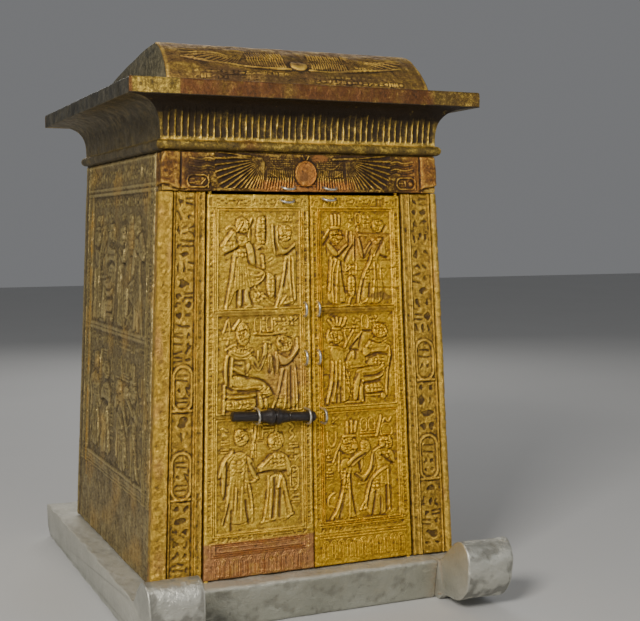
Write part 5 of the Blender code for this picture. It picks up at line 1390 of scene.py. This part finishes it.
cornice_gold = gold_sheet("gold_cornice", (0.97, 0.66, 0.12), (0.24, 0.16, 0.038), (0.026, 0.014, 0.004),
                          (0.205, 0.085, 0.030), 0.44, grime_and_shade=0.05)
dull_sides = attribute(cornice_gold.node_tree, "dull")
weather(cornice_gold, dull_sides, 75.0, 0.72, 0.64, (0.052, 0.047, 0.034), (0.170, 0.150, 0.100))
top_half = half_body - 0.016
top_front, top_back = -0.133, 0.147
front_x = np.linspace(-1.0, 1.0, 391)
side_y = np.linspace(0.0, 1.0, 92)[1:-1]
rear_x = np.linspace(1.0, -1.0, 92)
rows, marks = [], {"hollow": [], "stain": [], "soot_and_shade": [], "dull": []}
rib_pitch = 0.00575
overhangs = (0.0265, 0.0335, 0.054)
rib_count = int(2 * top_half / rib_pitch)
limit_x, limit_front, limit_back = 0.163, -0.1595, 0.201
for row_number, (z, amount, kind) in enumerate(cornice_sections()):
    if kind == "hollow":
        curve = 1.0 - (1.0 - amount ** 3.0) ** (1.0 / 3.0)
        outs = [0.001 + (reach - 0.001) * curve for reach in overhangs]
    elif kind == "slab":
        tuck = 0.0012 if row_number == len(cornice_sections()) - 1 else (0.0003 if z > 0.4645 else 0.0)
        outs = [reach - tuck for reach in overhangs]
    else:
        outs = [amount] * 3
    front, aside, behind = outs
    x_front = front_x * (top_half + aside)
    half = top_half + aside
    y_low, y_high = top_front - front, top_back + behind
    along = side_y * (y_high - y_low)
    flank = np.ones(len(side_y))
    x = np.concatenate([x_front, half * flank, rear_x * half, -half * flank])
    y = np.concatenate([y_low + 0 * front_x, y_low + along, y_high + 0 * rear_x, y_high - along])
    face_x = np.concatenate([0 * x_front, flank, 0 * rear_x, -flank])
    face_y = np.concatenate([-np.ones(len(front_x)), 0 * side_y, np.ones(len(rear_x)), 0 * side_y])
    push = np.zeros_like(x)
    hollow = np.full_like(x, 0.5)
    stain = np.zeros_like(x)
    soot_and_shade = np.zeros_like(x)
    dull = np.abs(face_x) * (1.0 if kind == "slab" else 0.7)
    if kind == "hollow":
        part = slice(0, len(front_x))
        place = x_front / rib_pitch + (rib_count % 2) * 0.5
        flute = np.abs(place - np.round(place)) * 2.0
        fade = ramp(amount - 0.05, 0.06) * ramp(0.80 - amount, 0.10)
        fade = fade * (np.abs(x_front) < top_half - 0.001)
        ragged = np.clip(1.15 + waves(701, 8, x_front / 0.020, z / 0.02 + 0 * x_front), 0.25, 1.0)
        ridge = np.exp(-(flute / 0.21) ** 2)
        push[part] = 0.0011 * (ridge * ragged - 0.75 * (1.0 - ridge)) * fade
        # Dark flutes and bright ridges: soiling and wear, with painted shade in the flutes and painted
        # highlight on the ridges.
        hollow[part] = 0.5 + fade * (0.30 * (1.0 - ridge) - 0.46 * ridge * ragged)
        # Painted shadow of the slab's overhang, together with real soot: the upper part of the flutes is
        # darkened.
        soot_and_shade[part] = 1.8 * ramp(amount - 0.50, 0.3)
        # Painted highlight: a bright band along the foot of the flutes, over the roll.
        hollow[part] -= 0.35 * ramp(0.08 - amount, 0.05)
    if kind == "slab":
        stain[:] = np.clip(1.15 + 0.25 * waves(702, 8, x / 0.03, y / 0.03), 0.0, 1.0)
        stain *= ramp(z - slab_z, 0.001)
        bare = ramp(0.0205 - np.abs(x_front + 0.1405), 0.0010)
        stain[: len(front_x)] *= 1.0 - bare
        hollow[: len(front_x)] -= 0.08 * bare
        chipped = ramp(x_front - 0.112, 0.006)
        stain[: len(front_x)] *= 1.0 - 0.7 * chipped
        soot_and_shade[: len(front_x)] = 0.45 * chipped * ramp(0.142 - x_front, 0.006)
        push -= 0.0005 * np.clip(waves(703, 9, x / 0.018, y / 0.018, z / 0.02 + 0 * x) + 0.6, 0.0, 1.5)
    else:
        push += 0.00022 * waves(704, 9, x / 0.02, y / 0.02, z / 0.015 + 0 * x)
        hollow += 0.05 * waves(705, 8, x / 0.012, y / 0.012, z / 0.008 + 0 * x)
    if kind == "roll":
        stain[:] = np.maximum(0.0, 0.7 * np.exp(-((x + 0.052) / 0.009) ** 2) * (y < top_front))
        # Painted shade: the lower part of the roll is darkened in the soot_and_shade mark.
        soot_and_shade[:] = 0.75 * ramp(0.4122 - z, 0.003)
        # Painted highlight: the top of the roll is brightened.
        hollow -= 0.20 * ramp(z - 0.4160, 0.001)
    x, y = np.clip(x + face_x * push, -limit_x, limit_x), np.clip(y + face_y * push, limit_front, limit_back)
    rows.append(np.stack([x, y, np.full_like(x, z)], axis=1))
    for mark, field in (("hollow", hollow), ("stain", stain * (1.0 - dull)), ("soot_and_shade", soot_and_shade), ("dull", dull)):
        marks[mark].append(np.clip(field, 0.0, 2.0))
marks = {mark: np.stack(fields) for mark, fields in marks.items()}
made = skin("cornice_carved", np.stack(rows), marks, cornice_gold, shade=50.0)
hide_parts("cornice")


# The roof: one block with a rounded brow in front and a long slope to the back, all overlaid with gold
# sheet. A disk between wings is chased across the brow, over a plainer band. The top is dull and scuffed.
roof_gold = gold_sheet("gold_roof", (0.86, 0.56, 0.11), (0.30, 0.180, 0.045), (0.030, 0.016, 0.005),
                       (0.22, 0.115, 0.055), 0.44, grime_and_shade=0.05, smooth=0.50)
bare_ends = spread(roof_gold.node_tree, attribute(roof_gold.node_tree, "gable"), 0.90, 1.0)
weather(roof_gold, bare_ends, 190.0, 0.75, 0.62, (0.060, 0.055, 0.034), (0.235, 0.205, 0.120))
roof_front, roof_back, roof_z, roof_rise, roof_run = -0.135, 0.170, 0.4660, 0.0395, 0.047
ridge_y = roof_front + roof_run
shares = np.linspace(1.0, 0.0, 160) ** 1.3
brow = [(ridge_y - roof_run * u, roof_z + roof_rise * (1.0 - u ** 1.45) ** (1 / 1.45)) for u in shares]
brow = resample(brow, 0.00085, closed=False)
shares = np.linspace(0.0, 1.0, 60)
slope = [(ridge_y + (roof_back - ridge_y) * s, roof_z + roof_rise * (1.0 - s ** 1.43)) for s in shares]
slope = resample(slope, 0.0032, closed=False)[1:]
slope[-1, 1] = roof_z
under = resample([(roof_back, roof_z), (roof_front, roof_z)], 0.02, closed=False)[1:-1]
roof_half = 0.1245
face = Relief(-roof_half, roof_half, 0.0, (len(brow) - 1) * 0.00085, 0.0010, 0.00085)
brow_top = face.up[-1]
for side in (-1, 1):
    wing_foot = np.interp(side * face.x, (0.016, 0.050, 0.091, 0.108), (0.0195, 0.0210, 0.0272, 0.0310))
    feather_fan(face, side, (0.0460, 0.0450), (-2.0, -58.0), 12, 0.0640, wing_foot, 0.0017, 0.0020)
    for number in range(15):
        x = side * (0.0130 + number * 0.0024)
        for low, high in ((0.0215, 0.0315), (0.0330, 0.0440)):
            face.line([(x, low), (x + side * 0.0008, high)], 0.0013, 0.0014)
    wing_edge = ((0.009, 0.0190), (0.050, 0.0205), (0.091, 0.0267), (0.108, 0.0305))
    face.line([(side * x, z) for x, z in wing_edge], 0.0016, 0.0018)
    x_low, x_high = sorted((side * 0.012, side * 0.100))
    for row in range(2):
        signs(face, x_low, x_high, 0.0050 + 0.0052 * row, 0.0096 + 0.0052 * row, 17, 1, 801 + side + row,
              0.0011, 0.0009)
face.oval((0.0, 0.0250), 0.0085, 0.0075, 0.0016)
x, z = face.x, face.z
worn = np.clip(0.6 + 0.7 * waves(811, 8, x / 0.04, z / 0.02), 0.25, 1.0)
face.height *= worn * ramp(0.112 - np.abs(x), 0.012)
face.height += waves(812, 9, x / 0.03, z / 0.02) * 0.0003 + waves(813, 9, x / 0.009, z / 0.009) * 0.0001
face.height -= np.exp(-(waves(814, 8, x / 0.05, z / 0.03) / 0.04) ** 2) * 0.0003
blend = ramp(brow_top - z, 0.006) * np.clip(z / 0.002, 0.0, 1.0)
face.stain = 0.25 + 0.35 * np.clip(waves(815, 8, x / 0.035, z / 0.016), -0.6, 1.0)
face.patch(face.stain, -0.070, 0.010, 0.016, 0.010, 0.8, seed=14)
face.patch(face.stain, -0.095, 0.030, 0.030, 0.010, 0.6, seed=15)
face.patch(face.soot_and_shade, -0.068, 0.010, 0.014, 0.008, 0.55, seed=16)
face.patch(face.soot_and_shade, -0.020, 0.008, 0.018, 0.005, 0.60, seed=17)
face.patch(face.soot_and_shade, 0.045, 0.014, 0.034, 0.006, 0.60, seed=18)
face.patch(face.soot_and_shade, 0.000, 0.0380, 0.010, 0.006, 0.80, seed=19)
outline = np.vstack([brow, slope, under])
normal = outward(outline)
n_brow, n_all = len(brow), len(outline)
stations = face.along
proud = np.zeros((len(stations), n_all))
proud[:, :n_brow] = (face.height * blend).T[:, :n_brow]
rest_x, rest_y = np.meshgrid(stations, outline[n_brow:, 0], indexing="ij")
crease = np.exp(-(waves(822, 8, rest_x / 0.06, rest_y / 0.05) / 0.05) ** 2) * 0.0004
proud[:, n_brow:] = waves(821, 9, rest_x / 0.035, rest_y / 0.035) * 0.0003 - crease
proud[:, n_brow + len(slope):] = 0.0
proud -= 0.0009
end_gap = roof_half - np.abs(stations)
proud -= 0.0010 * np.clip(1.0 - end_gap / 0.002, 0.0, 1.0)[:, None] ** 2
y = outline[None, :, 0] + normal[None, :, 0] * proud
z = np.maximum(outline[None, :, 1] + normal[None, :, 1] * proud, roof_z)
roof_taper = 0.003
x = stations[:, None] * (1.0 - roof_taper / roof_half * (z - roof_z) / roof_rise)
hollow = np.full_like(proud, 0.5)
hollow[:, :n_brow] = hollowness(face.height, 2, 0.0010).T[:, :n_brow]
hollow[:, n_brow:] = np.clip(0.54 + 0.035 * waves(823, 9, rest_x / 0.05, rest_y / 0.05), 0.0, 1.0)
stain, soot_and_shade = np.full_like(proud, 0.3), np.zeros_like(proud)
stain[:, :n_brow] = face.stain.T[:, :n_brow]
soot_and_shade[:, :n_brow] = face.soot_and_shade.T[:, :n_brow]
lip = ramp(0.0040 + np.abs(stations) - roof_half, 0.002)[:, None] * (np.arange(n_all) < n_brow)
hollow -= 0.30 * lip
soot_and_shade *= 1.0 - lip
gable = np.zeros_like(proud)
for end in (0, -1):
    gable[end], hollow[end], stain[end], soot_and_shade[end] = 1.0, 0.5, 0.0, 0.0
marks = {"hollow": hollow, "stain": stain, "soot_and_shade": soot_and_shade, "gable": gable}
made = skin("roof_block", np.stack([x, y, z], axis=2), marks, roof_gold, shade=60.0)
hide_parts("roof")


# The bolt: a rod turned from ebony with a double swelling in its middle and a knob at its right end. It lies
# loose in two staples and slides into a third one on the other door.
bolt_length = 0.078
share = risen(bolt_z)
bolt_end = Vector((
    0.0046 * (1.0 - side_lean / half_body * share) - 0.0007, front_plane + front_lean * share - bolt_standoff,
    bolt_z - math.sin(bolt_droop) * bolt_length / 2,
))
bolt_along = Vector((math.cos(bolt_droop), 0.0, -math.sin(bolt_droop)))
bolt_start = bolt_end - bolt_along * bolt_length
profile = [
    (0.0, 0.0), (0.0, 0.0038), (0.006, 0.0043), (0.325, 0.0043), (0.34, 0.0046), (0.4, 0.0056),
    (0.44, 0.007), (0.462, 0.0075), (0.484, 0.0073), (0.494, 0.0062), (0.504, 0.0056), (0.514, 0.0062),
    (0.524, 0.0073), (0.545, 0.0075), (0.572, 0.0067), (0.6, 0.006), (0.64, 0.0054), (0.655, 0.0052),
    (0.66, 0.0047), (0.668, 0.0047), (0.673, 0.005), (0.684, 0.0045), (0.69, 0.0043), (0.94, 0.0043),
    (0.947, 0.0046), (0.956, 0.0048), (0.978, 0.0048), (0.991, 0.004), (1.0, 0.0026), (1.0, 0.0),
]
bm = bmesh.new()
verts = [bm.verts.new((radius, 0.0, -at * bolt_length)) for at, radius in profile]
edges = [bm.edges.new(pair) for pair in zip(verts, verts[1:])]
bmesh.ops.spin(bm, geom=verts + edges, cent=(0, 0, 0), axis=(0, 0, 1), angle=2 * math.pi, steps=36,
               use_merge=True)
bmesh.ops.remove_doubles(bm, verts=bm.verts, dist=0.000001)
bmesh.ops.recalc_face_normals(bm, faces=bm.faces)
bm.transform(Matrix.Translation(bolt_start) @ (-bolt_along).to_track_quat("Z", "Y").to_matrix().to_4x4())
bolt_mesh = bpy.data.meshes.new("bolt_ebony")
bm.to_mesh(bolt_mesh)
bm.free()
bolt_mesh.shade_smooth()
bolt_mesh.set_sharp_from_angle(angle=math.radians(45))
material, tree, shader = blank_material("ebony_turned")
streak = noise(tree, 900.0, 5.0, 0.6, place=drawn_out(tree, (0.08, 1.0, 1.0)))
dust = noise(tree, 180.0, 4.0, 0.6)
wood = mingle(tree, spread(tree, streak, 0.35, 0.70), (0.010, 0.008, 0.007), (0.030, 0.022, 0.018))
wood = mingle(tree, spread(tree, dust, 0.58, 0.78, 0.0, 0.5), wood, (0.10, 0.075, 0.05))
coat(tree, shader, wood, spread(tree, dust, 0.3, 0.7, 0.26, 0.48))
roughen(tree, shader, streak, 0.00012)
bolt_mesh.materials.append(material)
bolt = bpy.data.objects.new("bolt_ebony", bolt_mesh)
bpy.context.scene.collection.objects.link(bolt)
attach(bolt, "bolt")
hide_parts("bolt")


# Eleven staples of thick silver wire, bent to an arch and driven into the lintel and the doors. The cords of
# the seals went round eight of them, two hold the bolt and one keeps it shut.
material, tree, shader = blank_material("silver_wire_staples")
tarnish = noise(tree, 420.0, 5.0, 0.65)
wire = mingle(tree, spread(tree, tarnish, 0.42, 0.62), (0.72, 0.70, 0.62), (0.30, 0.28, 0.22))
wire = mingle(tree, spread(tree, noise(tree, 160.0), 0.60, 0.72), wire, (0.10, 0.08, 0.05))
rough = spread(tree, tarnish, 0.3, 0.7, 0.24, 0.46)
coat(tree, shader, wire, rough, spread(tree, tarnish, 0.4, 0.6, 0.95, 0.7))
roughen(tree, shader, tarnish, 0.00015)
wire_radius = 0.0011
bolt_knob = 0.0048
bolt_play = 0.0005
bolt_room = bolt_knob + bolt_play + wire_radius
seal_half, seal_rise = 0.0061, 0.0055
leg = 0.0040
sag = 0.45


def bent_staple(name, x, z, flat, holds_bolt, body):
    """One staple: a wire that leaves the sheet, arches over and goes back in."""
    surface = front_plane + front_lean * risen(z) - (lintel_proud if body == "shrine" else 0.0)
    half, rise = (bolt_room, bolt_standoff + bolt_room) if holds_bolt else (seal_half, seal_rise)
    shoulder = min(half * 0.9, rise * 0.8)
    path = [(-half, -leg), (-half, 0.0), (-half, (rise - shoulder) * 0.6)]
    turns = np.linspace(0.0, math.pi, 15)
    path += [(-math.cos(t) * half, rise - shoulder + math.sin(t) * shoulder) for t in turns]
    path += [(half, (rise - shoulder) * 0.6), (half, 0.0), (half, -leg)]
    path = np.array(path)
    spread_way = np.array((1.0, 0.0, 0.0) if flat else (0.0, 0.0, 1.0))
    out_way = np.array((0.0, -1.0, 0.0))
    centre = np.array((x, surface, z)) + path[:, :1] * spread_way + path[:, 1:] * out_way
    if flat:
        centre[:, 2] -= sag * np.maximum(path[:, 1] - (rise - shoulder), 0.0)
    run = np.gradient(centre, axis=0)
    run /= np.linalg.norm(run, axis=1, keepdims=True)
    across_way = np.cross(spread_way, out_way)
    bend_way = np.cross(run, across_way)
    bend_way /= np.linalg.norm(bend_way, axis=1, keepdims=True)
    third_way = np.cross(run, bend_way)
    turns = np.linspace(0.0, 2 * math.pi, 12, endpoint=False)
    ring = np.cos(turns)[None, :, None] * bend_way[:, None, :]
    ring = ring + np.sin(turns)[None, :, None] * third_way[:, None, :]
    table = centre[:, None, :] + wire_radius * ring
    made = skin("wire_" + name, table, {}, material, body, 60.0)
    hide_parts("staple_" + name)


seal_left, seal_right = -0.0170, 0.0230
doors_meet = 0.0051
left_in, right_in = doors_meet - 0.0068, doors_meet + 0.0058
for name, x, z, flat, body in (
    ("lintel_left", seal_left, lintel_z + 0.0040, True, "shrine"),
    ("lintel_right", seal_right, lintel_z + 0.0040, True, "shrine"),
    ("door_left_top", seal_left, door_top - 0.0049, True, "door_left"),
    ("door_right_top", seal_right, door_top - 0.0030, True, "door_right"),
    ("door_left_upper", left_in, door_top - 0.1010, False, "door_left"),
    ("door_left_lower", left_in, door_top - 0.1440, False, "door_left"),
    ("door_right_upper", right_in, door_top - 0.1010, False, "door_right"),
    ("door_right_lower", right_in, door_top - 0.1440, False, "door_right"),
):
    bent_staple(name, x, z, flat, False, body)
for name, share in (("bolt_left", 0.300), ("bolt_right", 0.915)):
    point = bolt_start + bolt_along * share * bolt_length
    bent_staple(name, point.x, point.z, False, True, "door_left")
keeper = bolt_start + bolt_along * ((doors_meet + 0.0072 - bolt_start.x) / bolt_along.x)
bent_staple("keeper", keeper.x, keeper.z, False, True, "door_right")
